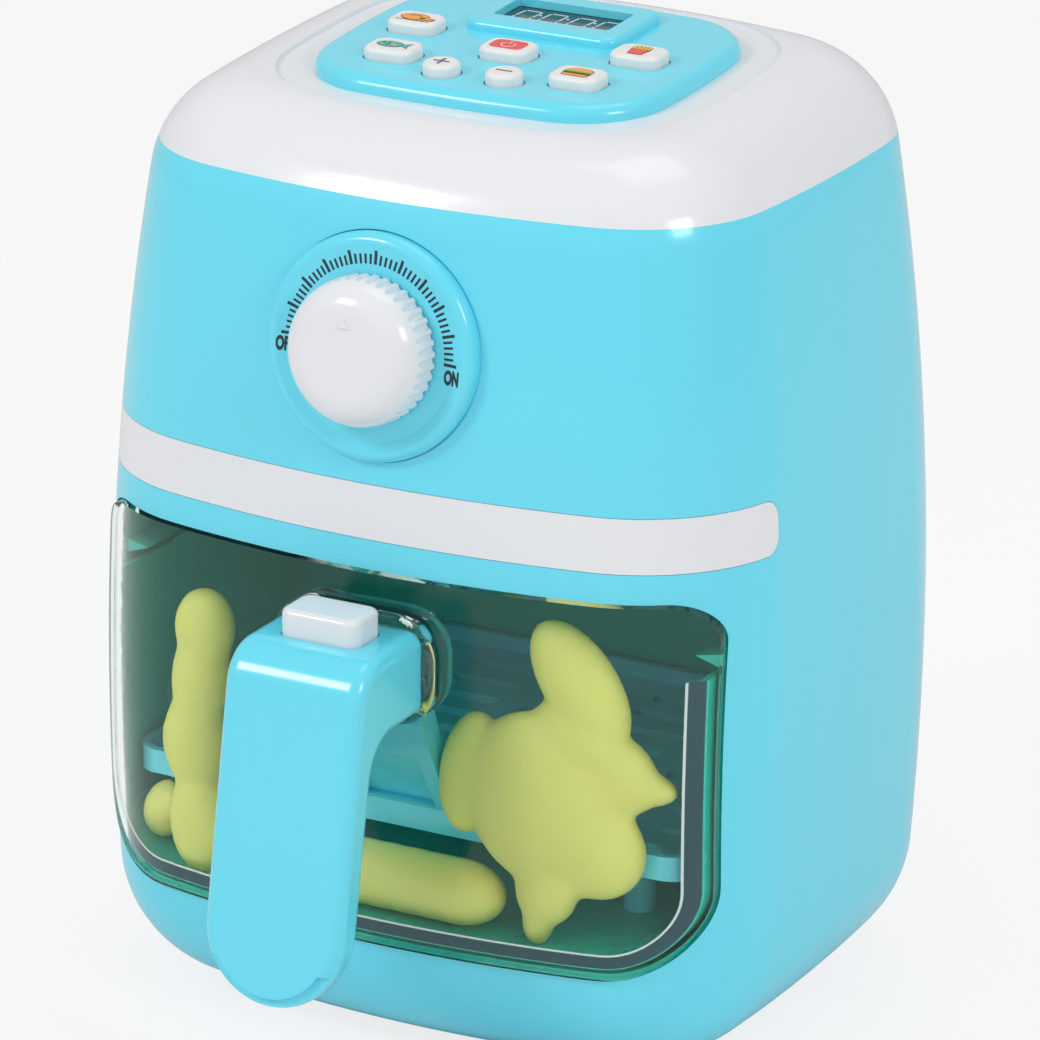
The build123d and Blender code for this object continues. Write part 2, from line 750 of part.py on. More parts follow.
with BuildPart() as battery_contacts:
    for row in (-1, 0, 1):
        turn = 1 if row else -1
        for end in (-1, 1):
            with BuildSketch(sideways(end * (BOX_LENGTH / 2 - JOIN_GAP), row * CELL_PITCH, cell_z)):
                Rectangle(CONTACT_SIZE, CONTACT_SIZE)
            extrude(amount=-end * CONTACT_THICK)
        # coil spring at each cell's flat end, as a tapered stack of turns
        face = CELL_LENGTH / 2 + JOIN_GAP
        root = BOX_LENGTH / 2 - JOIN_GAP - CONTACT_THICK
        with BuildSketch(sideways(-turn * face, row * CELL_PITCH, cell_z)):
            Circle(SPRING_R)
        with BuildSketch(sideways(-turn * root, row * CELL_PITCH, cell_z)):
            Circle(CONTACT_SIZE / 2)
        loft()
save(battery_contacts, "battery_contacts")

# Window, tray and rack: the drawer

neck_z = (NECK_TOP + NECK_BOTTOM) / 2
neck_height = NECK_TOP - NECK_BOTTOM
window_y = -DEPTH / 2 * body_scale(neck_z)

with BuildPart() as collar:
    with BuildSketch(upright(window_y + WINDOW_BACK, neck_z)):
        margin = NECK_GAP + COLLAR_WIDTH
        RectangleRounded(
            2 * (HANDLE_HALF + margin), neck_height + 2 * margin, COLLAR_ROUND
        )
    extrude(amount=WINDOW_BACK + WINDOW_PROUD + COLLAR_DEPTH)
    fillet(collar.faces().sort_by(Axis.Y)[0].edges(), COLLAR_WIDTH / 2)
    with BuildSketch(upright(window_y + WINDOW_BACK, neck_z)):
        RectangleRounded(
            2 * (HANDLE_HALF + NECK_GAP), neck_height + 2 * NECK_GAP, HANDLE_EDGE + NECK_GAP
        )
    extrude(amount=WINDOW_BACK + WINDOW_PROUD + 2 * COLLAR_DEPTH, mode=Mode.SUBTRACT)
    add(body_form(GAP - WINDOW_PROUD), mode=Mode.SUBTRACT)

bracket_screw_z = NECK_BOTTOM + neck_height * 0.3
bracket_back = window_y + WINDOW_BACK + BRACKET_THICK + 2 * JOIN_GAP + POST_THICK
bracket_planes = [
    upright(bracket_back, bracket_screw_z, x).rotated((180, 0, 0))
    for x in (-BRACKET_SCREW_X, BRACKET_SCREW_X)
]

with BuildPart() as drawer_window:
    add(window_outside)
    add(window_inside, mode=Mode.SUBTRACT)
    extrude(front_outline(0), amount=DEPTH, mode=Mode.INTERSECT)
    add(collar.part)
    for x in (-BRACKET_SCREW_X, BRACKET_SCREW_X):
        with BuildSketch(upright(window_y + 2 * WINDOW_THICK, bracket_screw_z, x)):
            Circle(SHANK_R + SCREW_GAP)
        extrude(amount=4 * WINDOW_THICK, mode=Mode.SUBTRACT)
save(drawer_window, "drawer_window")

with BuildPart() as drawer_tray:
    add(drawer_space(0, TRAY_TOP))
    add(drawer_space(-TRAY_WALL, TRAY_TOP), mode=Mode.SUBTRACT)
    add(behind_window, mode=Mode.INTERSECT)
save(drawer_tray, "drawer_tray")

with BuildPart() as handle_bracket:
    add(behind_window)
    add(body_form(WINDOW_BACK + JOIN_GAP + BRACKET_THICK), mode=Mode.SUBTRACT)
    with BuildSketch(upright(0, neck_z)):
        RectangleRounded(BRACKET_WIDTH, BRACKET_HEIGHT, COLLAR_ROUND)
    extrude(amount=DEPTH, mode=Mode.INTERSECT)
    for x in (-BRACKET_SCREW_X, BRACKET_SCREW_X):
        with BuildSketch(upright(window_y + 3 * WINDOW_THICK, bracket_screw_z, x)):
            Circle(SHANK_R + SCREW_GAP)
        extrude(amount=5 * WINDOW_THICK, mode=Mode.SUBTRACT)
save(handle_bracket, "handle_bracket")

rack_half = TRAY_HALF - RACK_GAP
rack_back = TRAY_BACK - RACK_GAP
rack_depth = rack_back - RACK_FRONT


def rack_outline(z, inset=0.0):
    """Plan of the rack, with a straight front and the tray's rear corners."""
    with BuildSketch(level(z, rack_back - rack_depth / 2)) as outline:
        Rectangle(2 * (rack_half - inset), rack_depth - 2 * inset)
        fillet(outline.vertices().group_by(Axis.Y)[0], RACK_FRONT_ROUND - inset)
        fillet(outline.vertices().group_by(Axis.Y)[-1], TRAY_REAR_ROUND - RACK_GAP - inset)
    return outline.sketch


with BuildPart() as rack_post:
    # seen from the side: a pad against the bracket, a leaning stem, and the rim
    with BuildSketch(sideways()):
        with BuildLine():
            Polyline(
                (window_y, POST_TOP),
                (window_y, NECK_BOTTOM + 1),
                (RACK_FRONT, RACK_Z + RACK_RIM),
                (RACK_FRONT, RACK_Z),
                (RACK_FRONT + POST_THICK, RACK_Z),
                (RACK_FRONT + POST_THICK, RACK_Z + RACK_RIM + 1),
                (bracket_back, NECK_BOTTOM + 2),
                (bracket_back, POST_TOP),
                close=True,
            )
        make_face()
    extrude(amount=rack_half - RACK_FRONT_ROUND, both=True)
    # seen from the front: a stem that flares into the rim
    with BuildSketch(upright(0)) as stem:
        with Locations((0, (POST_TOP + RACK_Z) / 2)):
            Rectangle(POST_WIDTH, POST_TOP - RACK_Z)
        with Locations((0, RACK_Z + RACK_RIM / 2)):
            Rectangle(2 * (rack_half - RACK_FRONT_ROUND), RACK_RIM)
        inner = stem.vertices().filter_by(lambda v: abs(abs(v.X) - POST_WIDTH / 2) < 0.1)
        fillet(inner.group_by(Axis.Y)[0], POST_FLARE)
        fillet(stem.vertices().group_by(Axis.Y)[-1], POST_FLARE / 2)
    extrude(amount=DEPTH, mode=Mode.INTERSECT)
    add(
        body_form(WINDOW_BACK + BRACKET_THICK + 2 * JOIN_GAP), mode=Mode.INTERSECT
    )
    # web between the two flanges, set back from the front
    with BuildSketch(sideways()):
        with BuildLine():
            Polyline(
                (window_y, NECK_BOTTOM - 3),
                (RACK_FRONT + POST_THICK / 2, RACK_Z + RACK_RIM + 1),
                (RACK_FRONT - POST_THICK, RACK_Z + RACK_RIM + 1),
                (window_y - POST_THICK, NECK_BOTTOM - 3),
                close=True,
            )
        make_face()
    extrude(amount=POST_WEB / 2, both=True, mode=Mode.SUBTRACT)

with BuildPart() as crisper_rack:
    extrude(rack_outline(RACK_Z), amount=RACK_RIM)
    extrude(rack_outline(RACK_Z + RACK_FLOOR, RACK_RIM_THICK), amount=RACK_RIM, mode=Mode.SUBTRACT)
    add(rack_post.part)
    # air slots
    with BuildSketch(level(RACK_Z, rack_back - rack_depth / 2)):
        with GridLocations(SLOT_PITCH_X, SLOT_PITCH_Y, SLOT_COLUMNS, SLOT_ROWS):
            SlotOverall(SLOT_LENGTH, SLOT_WIDTH)
    extrude(amount=RACK_FLOOR, mode=Mode.SUBTRACT)
    # legs on the tray's floor
    with BuildSketch(level(TRAY_FLOOR + TRAY_WALL + JOIN_GAP)):
        with Locations(*corners(LEG_X, LEG_Y)):
            Circle(LEG_R)
    extrude(amount=RACK_Z + RACK_FLOOR / 2 - TRAY_FLOOR - TRAY_WALL)
    for x in (-BRACKET_SCREW_X, BRACKET_SCREW_X):
        with BuildSketch(upright(bracket_back + 1, bracket_screw_z, x)):
            Circle(SHANK_R + SCREW_GAP)
        extrude(amount=2 * POST_THICK, mode=Mode.SUBTRACT)
save(crisper_rack, "crisper_rack")

# Handle: a front cover and a rear shell that meet along the arch

handle_root = window_y + WINDOW_THICK
grip_end_z = GRIP_BOTTOM + HANDLE_HALF
grip_low = GRIP_BOTTOM - HANDLE_HALF


def handle_form(inset, root):
    """The handle as a solid from a root on the window, or a smaller copy of it."""
    with BuildPart() as form:
        with BuildSketch(sideways()) as profile:
            with BuildLine():
                Polyline(
                    (root, NECK_TOP - inset),
                    (grip_y(NECK_TOP - inset, inset), NECK_TOP - inset),
                    (grip_y(grip_low, inset), grip_low),
                    (grip_y(grip_low, GRIP_THICK - inset), grip_low),
                    (grip_y(NECK_BOTTOM + inset, GRIP_THICK - inset), NECK_BOTTOM + inset),
                    (root, NECK_BOTTOM + inset),
                    close=True,
                )
            make_face()
            outer = profile.vertices().sort_by_distance((grip_y(NECK_TOP), NECK_TOP))[0]
            fillet(outer, OUTER_BEND - inset)
            inner = profile.vertices().sort_by_distance((grip_y(NECK_BOTTOM, GRIP_THICK), NECK_BOTTOM))[0]
            fillet(inner, INNER_BEND + inset)
        extrude(amount=HANDLE_HALF - inset, both=True)
        with BuildSketch(upright(0)):
            with Locations((0, grip_end_z)):
                Circle(HANDLE_HALF - inset)
            with Locations((0, (grip_end_z + NECK_TOP) / 2)):
                Rectangle(2 * (HANDLE_HALF - inset), NECK_TOP - grip_end_z)
        extrude(amount=2 * HANDLE_REACH, mode=Mode.INTERSECT)
        free_end = BODY_Y + root - GAP
        rims = form.edges().filter_by(lambda e: e.center().Y < free_end)
        long_rims = rims.filter_by(
            lambda e: abs(e.tangent_at(0.5).X) < 0.99 or e.geom_type != GeomType.LINE
        )
        fillet(long_rims, max(HANDLE_EDGE - inset, HANDLE_EDGE / 3))
    return form.part


cover_low = NECK_TOP - COVER_DEPTH
with BuildPart() as cover_zone:
    with BuildSketch(sideways()) as zone:
        with BuildLine():
            Polyline(
                (handle_root, NECK_TOP + COVER_DEPTH),
                (grip_y(grip_low, -COVER_DEPTH), NECK_TOP + COVER_DEPTH),
                (grip_y(grip_low, -COVER_DEPTH), grip_low),
                (grip_y(grip_low, COVER_DEPTH), grip_low),
                (grip_y(cover_low, COVER_DEPTH), cover_low),
                (handle_root, cover_low),
                close=True,
            )
        make_face()
        bend = zone.vertices().sort_by_distance((grip_y(cover_low, COVER_DEPTH), cover_low))[0]
        fillet(bend, OUTER_BEND - COVER_DEPTH)
    extrude(amount=2 * HANDLE_HALF, both=True)
    # lower end: the cover stops inside the rear shell's rim, with a small step
    with BuildSketch(upright(grip_y(COVER_STEP_Z, GRIP_THICK))):
        with Locations((0, COVER_STEP_Z - 2 * HANDLE_HALF)):
            Rectangle(5 * HANDLE_HALF, 4 * HANDLE_HALF)
        with Locations((0, grip_end_z)):
            Circle(HANDLE_HALF - COVER_END_INSET, mode=Mode.SUBTRACT)
    extrude(amount=4 * COVER_DEPTH, mode=Mode.SUBTRACT)

handle_whole = handle_form(0, handle_root)
handle_core = handle_form(HANDLE_WALL, window_y - WINDOW_THICK - HANDLE_WALL)
grip_screw_planes = [
    grip_face(z, GRIP_THICK - HEAD_T - GAP).rotated((180, 0, 0)) for z in GRIP_SCREWS_Z
]
release_seat = NECK_TOP - HANDLE_WALL
slot_x = RELEASE_LENGTH_X + 2 * GAP
slot_y = RELEASE_LENGTH_Y + 2 * GAP
pedestal_top = NECK_BOTTOM + neck_height / 2

with BuildPart() as handle_front_cover:
    add(handle_whole)
    add(handle_core, mode=Mode.SUBTRACT)
    add(cover_zone.part, mode=Mode.INTERSECT)
    add(body_form(-WINDOW_PROUD - JOIN_GAP), mode=Mode.SUBTRACT)
    # screw posts behind the grip's face
    for z in GRIP_SCREWS_Z:
        with BuildSketch(grip_face(z, COVER_DEPTH)):
            Circle(BOSS_R)
            Circle(SHANK_R + PILOT_GAP, mode=Mode.SUBTRACT)
        extrude(amount=COVER_DEPTH - HANDLE_WALL / 2)
    # slot that the release button stands in
    with BuildSketch(level(NECK_TOP + 1, RELEASE_Y)):
        RectangleRounded(slot_x, slot_y, RELEASE_ROUND + GAP)
    extrude(amount=-3 * HANDLE_WALL, mode=Mode.SUBTRACT)
save(handle_front_cover, "handle_front_cover")

with BuildPart() as handle_rear_shell:
    add(handle_whole)
    add(handle_core, mode=Mode.SUBTRACT)
    add(cover_zone.part, mode=Mode.SUBTRACT)
    add(body_form(-WINDOW_PROUD - JOIN_GAP), mode=Mode.SUBTRACT)
    # the rim around the cover's lower end is set back from its face
    with BuildSketch(grip_face(COVER_STEP_Z - HANDLE_HALF, RIM_SET_BACK)):
        Rectangle(4 * HANDLE_HALF, 2 * HANDLE_HALF)
    extrude(amount=COVER_DEPTH, mode=Mode.SUBTRACT)
    # posts and counterbores for the grip's screws
    for z in GRIP_SCREWS_Z:
        with BuildSketch(grip_face(z, GRIP_THICK - HANDLE_WALL / 2)):
            Circle(BOSS_R + 1)
        extrude(amount=GRIP_THICK - COVER_DEPTH - HANDLE_WALL / 2)
        with BuildSketch(grip_face(z, GRIP_THICK + 1)):
            Circle(SHANK_R + SCREW_GAP)
        extrude(amount=GRIP_THICK - COVER_DEPTH + 2, mode=Mode.SUBTRACT)
        with BuildSketch(grip_face(z, GRIP_THICK + 1)):
            Circle(HEAD_R + GAP)
        extrude(amount=HEAD_T + GAP + 1, mode=Mode.SUBTRACT)
    # posts for the two screws from behind the window
    for x in (-BRACKET_SCREW_X, BRACKET_SCREW_X):
        with BuildSketch(upright(window_y - WINDOW_THICK, bracket_screw_z, x)):
            Circle(BOSS_R)
        extrude(amount=BRACKET_SCREW_REACH)
        with BuildSketch(upright(window_y, bracket_screw_z, x)):
            Circle(SHANK_R + PILOT_GAP)
        extrude(amount=BRACKET_SCREW_REACH, mode=Mode.SUBTRACT)
    # seat under the release button's spring
    with BuildSketch(level(NECK_BOTTOM + HANDLE_WALL / 2, RELEASE_Y)):
        Circle(SPRING_COIL_R + 1.5)
    extrude(amount=pedestal_top - NECK_BOTTOM - HANDLE_WALL / 2)
save(handle_rear_shell, "handle_rear_shell")

handle_screws = screw_group(grip_screw_planes, GRIP_THICK - HANDLE_WALL - HEAD_T - 2)
save(handle_screws, "handle_screws")
bracket_screws = screw_group(
    bracket_planes, bracket_back - window_y + WINDOW_PROUD + BRACKET_SCREW_REACH / 2
)
save(bracket_screws, "bracket_screws")

# Release button and its spring

flange_top = release_seat - JOIN_GAP
with BuildPart() as release_button:
    with BuildSketch(level(flange_top - RELEASE_FLANGE, RELEASE_Y)):
        RectangleRounded(RELEASE_LENGTH_X, RELEASE_LENGTH_Y, RELEASE_ROUND)
    extrude(amount=NECK_TOP + RELEASE_PROUD - flange_top + RELEASE_FLANGE)
    fillet(release_button.faces().sort_by(Axis.Z)[-1].edges(), RELEASE_ROUND / 2)
    with BuildSketch(level(flange_top - RELEASE_FLANGE, RELEASE_Y)):
        RectangleRounded(
            RELEASE_LENGTH_X + 2 * RELEASE_FLANGE, RELEASE_LENGTH_Y + 2 * RELEASE_FLANGE, RELEASE_ROUND
        )
    extrude(amount=RELEASE_FLANGE)
save(release_button, "release_button")

spring_top = flange_top - RELEASE_FLANGE - JOIN_GAP
spring_low = pedestal_top + JOIN_GAP
coil_height = spring_top - spring_low - 2 * SPRING_WIRE
with BuildPart() as release_spring:
    base = level(spring_low + SPRING_WIRE, RELEASE_Y)
    with BuildLine(base) as coil:
        Helix(coil_height / SPRING_TURNS, coil_height, SPRING_COIL_R)
    start = coil.wires()[0]
    with BuildSketch(Plane(start @ 0, z_dir=start % 0)):
        Circle(SPRING_WIRE)
    sweep(path=start, is_frenet=True)
save(release_spring, "release_spring")

# Timer dial: bezel in the wall, knob on its shaft, rotary switch behind

# plane through the dial's axis, for profiles that are turned about it
dial_section = Plane(origin=DIAL.origin, x_dir=DIAL.x_dir, z_dir=DIAL.x_dir.cross(DIAL.z_dir))
dial_axis = Axis(DIAL.origin, DIAL.z_dir)
face_height = BEZEL_PROUD - BEZEL_DISH
shaft_hole = SHAFT_R + GAP
switch_front = -SPIGOT_DEPTH - JOIN_GAP

with BuildPart() as dial_bezel:
    with BuildSketch(dial_section):
        with BuildLine():
            Polyline(
                (shaft_hole, face_height - BEZEL_WALL),
                (shaft_hole, face_height),
                (BEZEL_R - 2 * BEZEL_EDGE, face_height),
                (BEZEL_R - BEZEL_EDGE, BEZEL_PROUD),
            )
            RadiusArc((BEZEL_R - BEZEL_EDGE, BEZEL_PROUD), (BEZEL_R, BEZEL_PROUD - BEZEL_EDGE), BEZEL_EDGE)
            Polyline(
                (BEZEL_R, BEZEL_PROUD - BEZEL_EDGE),
                (BEZEL_R, -BEZEL_SEAT),
                (SPIGOT_R, -BEZEL_SEAT),
                (SPIGOT_R, -SPIGOT_DEPTH),
                (SPIGOT_R - BEZEL_WALL, -SPIGOT_DEPTH),
                (SPIGOT_R - BEZEL_WALL, face_height - BEZEL_WALL),
                (shaft_hole, face_height - BEZEL_WALL),
            )
        make_face()
    revolve(axis=dial_axis)
    with BuildSketch(DIAL.offset(-SPIGOT_DEPTH)):
        with PolarLocations(DIAL_SCREW_R, DIAL_SCREWS, 90):
            Circle(BOSS_R)
            Circle(SHANK_R + PILOT_GAP, mode=Mode.SUBTRACT)
    extrude(amount=SPIGOT_DEPTH + face_height - BEZEL_WALL / 2)
save(dial_bezel, "dial_bezel")

with BuildPart() as dial_switch:
    with BuildSketch(DIAL.offset(switch_front - BEZEL_WALL)):
        Circle(SWITCH_PLATE_R)
        with PolarLocations(DIAL_SCREW_R, DIAL_SCREWS, 90):
            Circle(SHANK_R + SCREW_GAP, mode=Mode.SUBTRACT)
    extrude(amount=BEZEL_WALL)
    with BuildSketch(DIAL.offset(switch_front - BEZEL_WALL)):
        RectangleRounded(SWITCH_SIZE * 0.7, SWITCH_SIZE * 0.7, 2)
    extrude(amount=-SWITCH_DEPTH)
    with BuildSketch(DIAL.offset(switch_front + 1)):
        Circle(SHAFT_R + SHAFT_GAP)
    extrude(amount=-SWITCH_DEPTH, mode=Mode.SUBTRACT)
save(dial_switch, "dial_switch")

dial_screw_planes = [
    Plane(DIAL.offset(switch_front - BEZEL_WALL) * place).rotated((180, 0, 0))
    for place in PolarLocations(DIAL_SCREW_R, DIAL_SCREWS, 90)
]
dial_screws = screw_group(dial_screw_planes, BEZEL_WALL + SPIGOT_DEPTH)
save(dial_screws, "dial_screws")

knob_base = BEZEL_PROUD + KNOB_LIFT - BEZEL_DISH
knob_top = knob_base + KNOB_HEIGHT
knob_hollow = KNOB_HEIGHT - KNOB_WALL - KNOB_EDGE / 3
with BuildPart() as timer_knob:
    with BuildSketch(DIAL.offset(knob_base)):
        Circle(KNOB_R)
    extrude(amount=KNOB_HEIGHT)
    front_rim = timer_knob.edges().sort_by(dial_axis)[-1]
    fillet(front_rim, KNOB_EDGE)
    with BuildSketch(DIAL.offset(knob_base)):
        with PolarLocations(KNOB_R + GROOVE_R / 3, KNOB_GROOVES):
            Circle(GROOVE_R)
    extrude(amount=KNOB_HEIGHT - KNOB_EDGE / 2, mode=Mode.SUBTRACT)
    with BuildSketch(DIAL.offset(knob_base)):
        Circle(KNOB_R - KNOB_WALL)
    extrude(amount=knob_hollow, mode=Mode.SUBTRACT)
    with BuildSketch(DIAL.offset(knob_base)):
        Circle(SHAFT_R + KNOB_WALL)
        Circle(SHAFT_R + SHAFT_GAP, mode=Mode.SUBTRACT)
    extrude(amount=knob_hollow + JOIN_GAP)
    with BuildSketch(DIAL.offset(knob_top)):
        with Locations((0, POINTER_OUT)):
            RegularPolygon(POINTER_SIZE, 3, rotation=90)
    extrude(amount=POINTER_PROUD)
save(timer_knob, "timer_knob")

with BuildPart() as timer_shaft:
    with BuildSketch(DIAL.offset(switch_front - BEZEL_WALL - SWITCH_DEPTH / 2)):
        Circle(SHAFT_R)
    shaft_top = knob_base + knob_hollow - JOIN_GAP
    extrude(amount=shaft_top - switch_front + BEZEL_WALL + SWITCH_DEPTH / 2)
save(timer_shaft, "timer_shaft")

# Control panel: a raised cover with keys, on a board and a silicone mat

panel_top = PANEL_HEIGHT - RECESS
panel_under = panel_top - PANEL_WALL
panel_middle = (PANEL_FRONT + PANEL_BACK) / 2
panel_half_y = (PANEL_BACK - PANEL_FRONT) / 2
frame_top = panel_top + DISPLAY_RAISE
board_top = panel_under - BOARD_DEPTH
flange_low = panel_under - JOIN_GAP - CAP_FLANGE_THICK
lid_up = Axis(LID_TOP.origin, LID_TOP.z_dir)
hook_root = PANEL_LEDGE + GAP + HOOK_THICK / 2
barb_top = -RECESS - LID_WALL - JOIN_GAP


def key_outline(plane, name, grow=0.0):
    """Outline of one key, or of its flange or hole."""
    with BuildSketch(plane) as outline:
        if name in ROUND_CAP_PLACES:
            Circle(ROUND_CAP_R + grow)
        else:
            RectangleRounded(CAP_X + 2 * grow, CAP_Y + 2 * grow, CAP_ROUND + grow)
    return outline.sketch


key_places = CAP_PLACES | ROUND_CAP_PLACES

with BuildPart() as control_panel:
    extrude(panel_outline(-RECESS), amount=PANEL_HEIGHT)
    fillet(control_panel.faces().sort_by(lid_up)[-1].edges(), PANEL_EDGE)
    with BuildSketch(on_lid(panel_under, 0, DISPLAY_Y)):
        RectangleRounded(DISPLAY_FRAME_X, DISPLAY_FRAME_Y, 2 * PANEL_WALL)
    extrude(amount=DISPLAY_RAISE + PANEL_WALL)
    fillet(control_panel.faces().sort_by(lid_up)[-1].edges(), DISPLAY_EDGE)
    extrude(
        panel_outline(-RECESS, PANEL_WALL), amount=PANEL_HEIGHT - PANEL_WALL, mode=Mode.SUBTRACT
    )
    with BuildSketch(on_lid(panel_under, 0, DISPLAY_Y)):
        RectangleRounded(
            DISPLAY_FRAME_X - 2 * PANEL_WALL, DISPLAY_FRAME_Y - 2 * PANEL_WALL, PANEL_WALL
        )
    extrude(amount=DISPLAY_RAISE, mode=Mode.SUBTRACT)
    with BuildSketch(on_lid(panel_under, 0, DISPLAY_Y)):
        RectangleRounded(DISPLAY_OPEN_X, DISPLAY_OPEN_Y, 1)
    extrude(amount=3 * PANEL_WALL, mode=Mode.SUBTRACT)
    for name, (x, y) in key_places.items():
        hole = key_outline(on_lid(panel_under, x, y), name, CAP_GAP)
        extrude(hole, amount=2 * PANEL_WALL, mode=Mode.SUBTRACT)
    # posts for the board
    with BuildSketch(on_lid(board_top)):
        with Locations(*BOARD_POSTS):
            Circle(POST_R)
            Circle(BOARD_SCREW_R + PILOT_GAP, mode=Mode.SUBTRACT)
    extrude(amount=BOARD_DEPTH)
    # hooks that snap under the lid's ledge
    for dx, dy in ((0, -1), (0, 1), (-1, 0), (1, 0)):
        x = dx * (PANEL_HALF_X - hook_root)
        y = panel_middle + dy * (panel_half_y - hook_root)
        wide_x = HOOK_WIDTH if dy else HOOK_THICK
        wide_y = HOOK_WIDTH if dx else HOOK_THICK
        with BuildSketch(on_lid(barb_top - HOOK_BARB, x, y)):
            Rectangle(wide_x, wide_y)
        extrude(amount=panel_under - barb_top + HOOK_BARB)
        with BuildSketch(on_lid(barb_top - HOOK_BARB, x + dx * HOOK_BARB / 2, y + dy * HOOK_BARB / 2)):
            Rectangle(wide_x + abs(dx) * HOOK_BARB, wide_y + abs(dy) * HOOK_BARB)
        extrude(amount=HOOK_BARB)
save(control_panel, "control_panel")

for name, (x, y) in key_places.items():
    with BuildPart() as key:
        extrude(key_outline(on_lid(flange_low, x, y), name), amount=panel_top + CAP_PROUD - flange_low)
        fillet(key.faces().sort_by(lid_up)[-1].edges(), CAP_EDGE)
        extrude(key_outline(on_lid(flange_low, x, y), name, CAP_FLANGE), amount=CAP_FLANGE_THICK)
    save(key, name)

lens_top = frame_top - PANEL_WALL - JOIN_GAP
lens_low = lens_top - LENS_THICK
with BuildPart() as display_lens:
    with BuildSketch(on_lid(lens_low, 0, DISPLAY_Y)):
        RectangleRounded(
            DISPLAY_FRAME_X - 2 * (PANEL_WALL + GAP),
            DISPLAY_FRAME_Y - 2 * (PANEL_WALL + GAP),
            PANEL_WALL - GAP,
        )
    extrude(amount=LENS_THICK)
save(display_lens, "display_lens")

with BuildPart() as display_module:
    with BuildSketch(on_lid(lens_low - JOIN_GAP - LCD_THICK, 0, DISPLAY_Y)):
        Rectangle(DISPLAY_OPEN_X + 2 * PANEL_WALL, DISPLAY_OPEN_Y + 2 * PANEL_WALL)
    extrude(amount=LCD_THICK)
    # two rows of pins down to the board
    with BuildSketch(on_lid(board_top, 0, DISPLAY_Y)):
        with GridLocations(PIN_PITCH, DISPLAY_OPEN_Y, PINS_IN_ROW, 2):
            Rectangle(PIN_SIZE, PIN_SIZE)
    extrude(amount=lens_low - JOIN_GAP - LCD_THICK - board_top)
save(display_module, "display_module")

with BuildPart() as control_board:
    extrude(panel_outline(board_top - BOARD_THICK, BOARD_INSET), amount=BOARD_THICK)
    with BuildSketch(on_lid(board_top - BOARD_THICK)):
        with Locations(*BOARD_POSTS):
            Circle(BOARD_SCREW_R + GAP)
    extrude(amount=BOARD_THICK, mode=Mode.SUBTRACT)
    # sound chip and capacitor underneath
    with BuildSketch(on_lid(board_top - BOARD_THICK, *CHIP_PLACE)):
        Rectangle(CHIP_SIZE, CHIP_SIZE)
    extrude(amount=-CHIP_THICK)
    with BuildSketch(on_lid(board_top - BOARD_THICK, *CAPACITOR_PLACE)):
        Circle(CAPACITOR_R)
    extrude(amount=-CAPACITOR_HEIGHT)
save(control_board, "control_board")

with BuildPart() as keypad_mat:
    extrude(panel_outline(board_top, MAT_INSET), amount=MAT_THICK)
    with BuildSketch(on_lid(board_top)):
        mat_back = DISPLAY_Y - DISPLAY_FRAME_Y / 2 + PANEL_WALL
        with Locations((0, mat_back + PANEL_BACK / 2)):
            Rectangle(2 * PANEL_HALF_X, PANEL_BACK)
        with Locations(*BOARD_POSTS):
            Circle(POST_R + GAP)
    extrude(amount=MAT_THICK, mode=Mode.SUBTRACT)
    with BuildSketch(on_lid(board_top + MAT_THICK)):
        with Locations(*key_places.values()):
            Circle(DOME_R)
    extrude(amount=flange_low - JOIN_GAP - board_top - MAT_THICK)
save(keypad_mat, "keypad_mat")

board_screws = screw_group(
    [on_lid(board_top - BOARD_THICK, x, y).rotated((180, 0, 0)) for x, y in BOARD_POSTS],
    BOARD_DEPTH + BOARD_THICK - 1,
    head_r=POST_R - 0.2,
    shank_r=BOARD_SCREW_R,
)
save(board_screws, "board_screws")

# Speaker, held against the rear wall by two washer-head screws

speaker_back = -SPEAKER_SET_BACK - SPEAKER_RIM
with BuildPart() as speaker:
    with BuildSketch(REAR.offset(speaker_back)):
        Circle(SPEAKER_R)
    extrude(amount=SPEAKER_RIM)
    with BuildSketch(REAR.offset(speaker_back)):
        Circle(MAGNET_R)
    extrude(amount=-MAGNET_DEPTH)
    with BuildSketch(REAR.offset(-SPEAKER_SET_BACK)):
        Circle(SPEAKER_R - 2)
    with BuildSketch(REAR.offset(-SPEAKER_SET_BACK - SPEAKER_RIM + 1)):
        Circle(MAGNET_R / 2)
    loft(mode=Mode.SUBTRACT)
save(speaker, "speaker")

speaker_screws = screw_group(
    [
        Plane(REAR.offset(speaker_back) * Pos(x, 0, 0)).rotated((180, 0, 0))
        for x in (-SPEAKER_BOSS_OUT, SPEAKER_BOSS_OUT)
    ],
    SPEAKER_RIM - GAP,
    head_r=SPEAKER_BOSS_OUT - SPEAKER_R + GAP,
)
save(speaker_screws, "speaker_screws")

# Wires from the batteries, the speaker and the dial to the board


def spot(x, y, z):
    """A point given from the body's centre and the shell's underside."""
    return (x, BODY_Y + y, FOOT_HEIGHT + z)


def board_under(y):
    """Height of the board's underside above the shell's underside."""
    return HEIGHT + (board_top - BOARD_THICK) / math.cos(TILT) + y * math.tan(TILT) - JOIN_GAP


def lead(route, name):
    """One sleeved pair of wires, in straight runs joined by arcs."""
    with BuildPart() as wire:
        with BuildLine() as path:
            FilletPolyline(*route, radius=WIRE_BEND)
        with BuildSketch(Plane(path.line @ 0, z_dir=path.line % 0)):
            Circle(WIRE_R)
        sweep()
    save(wire, name)


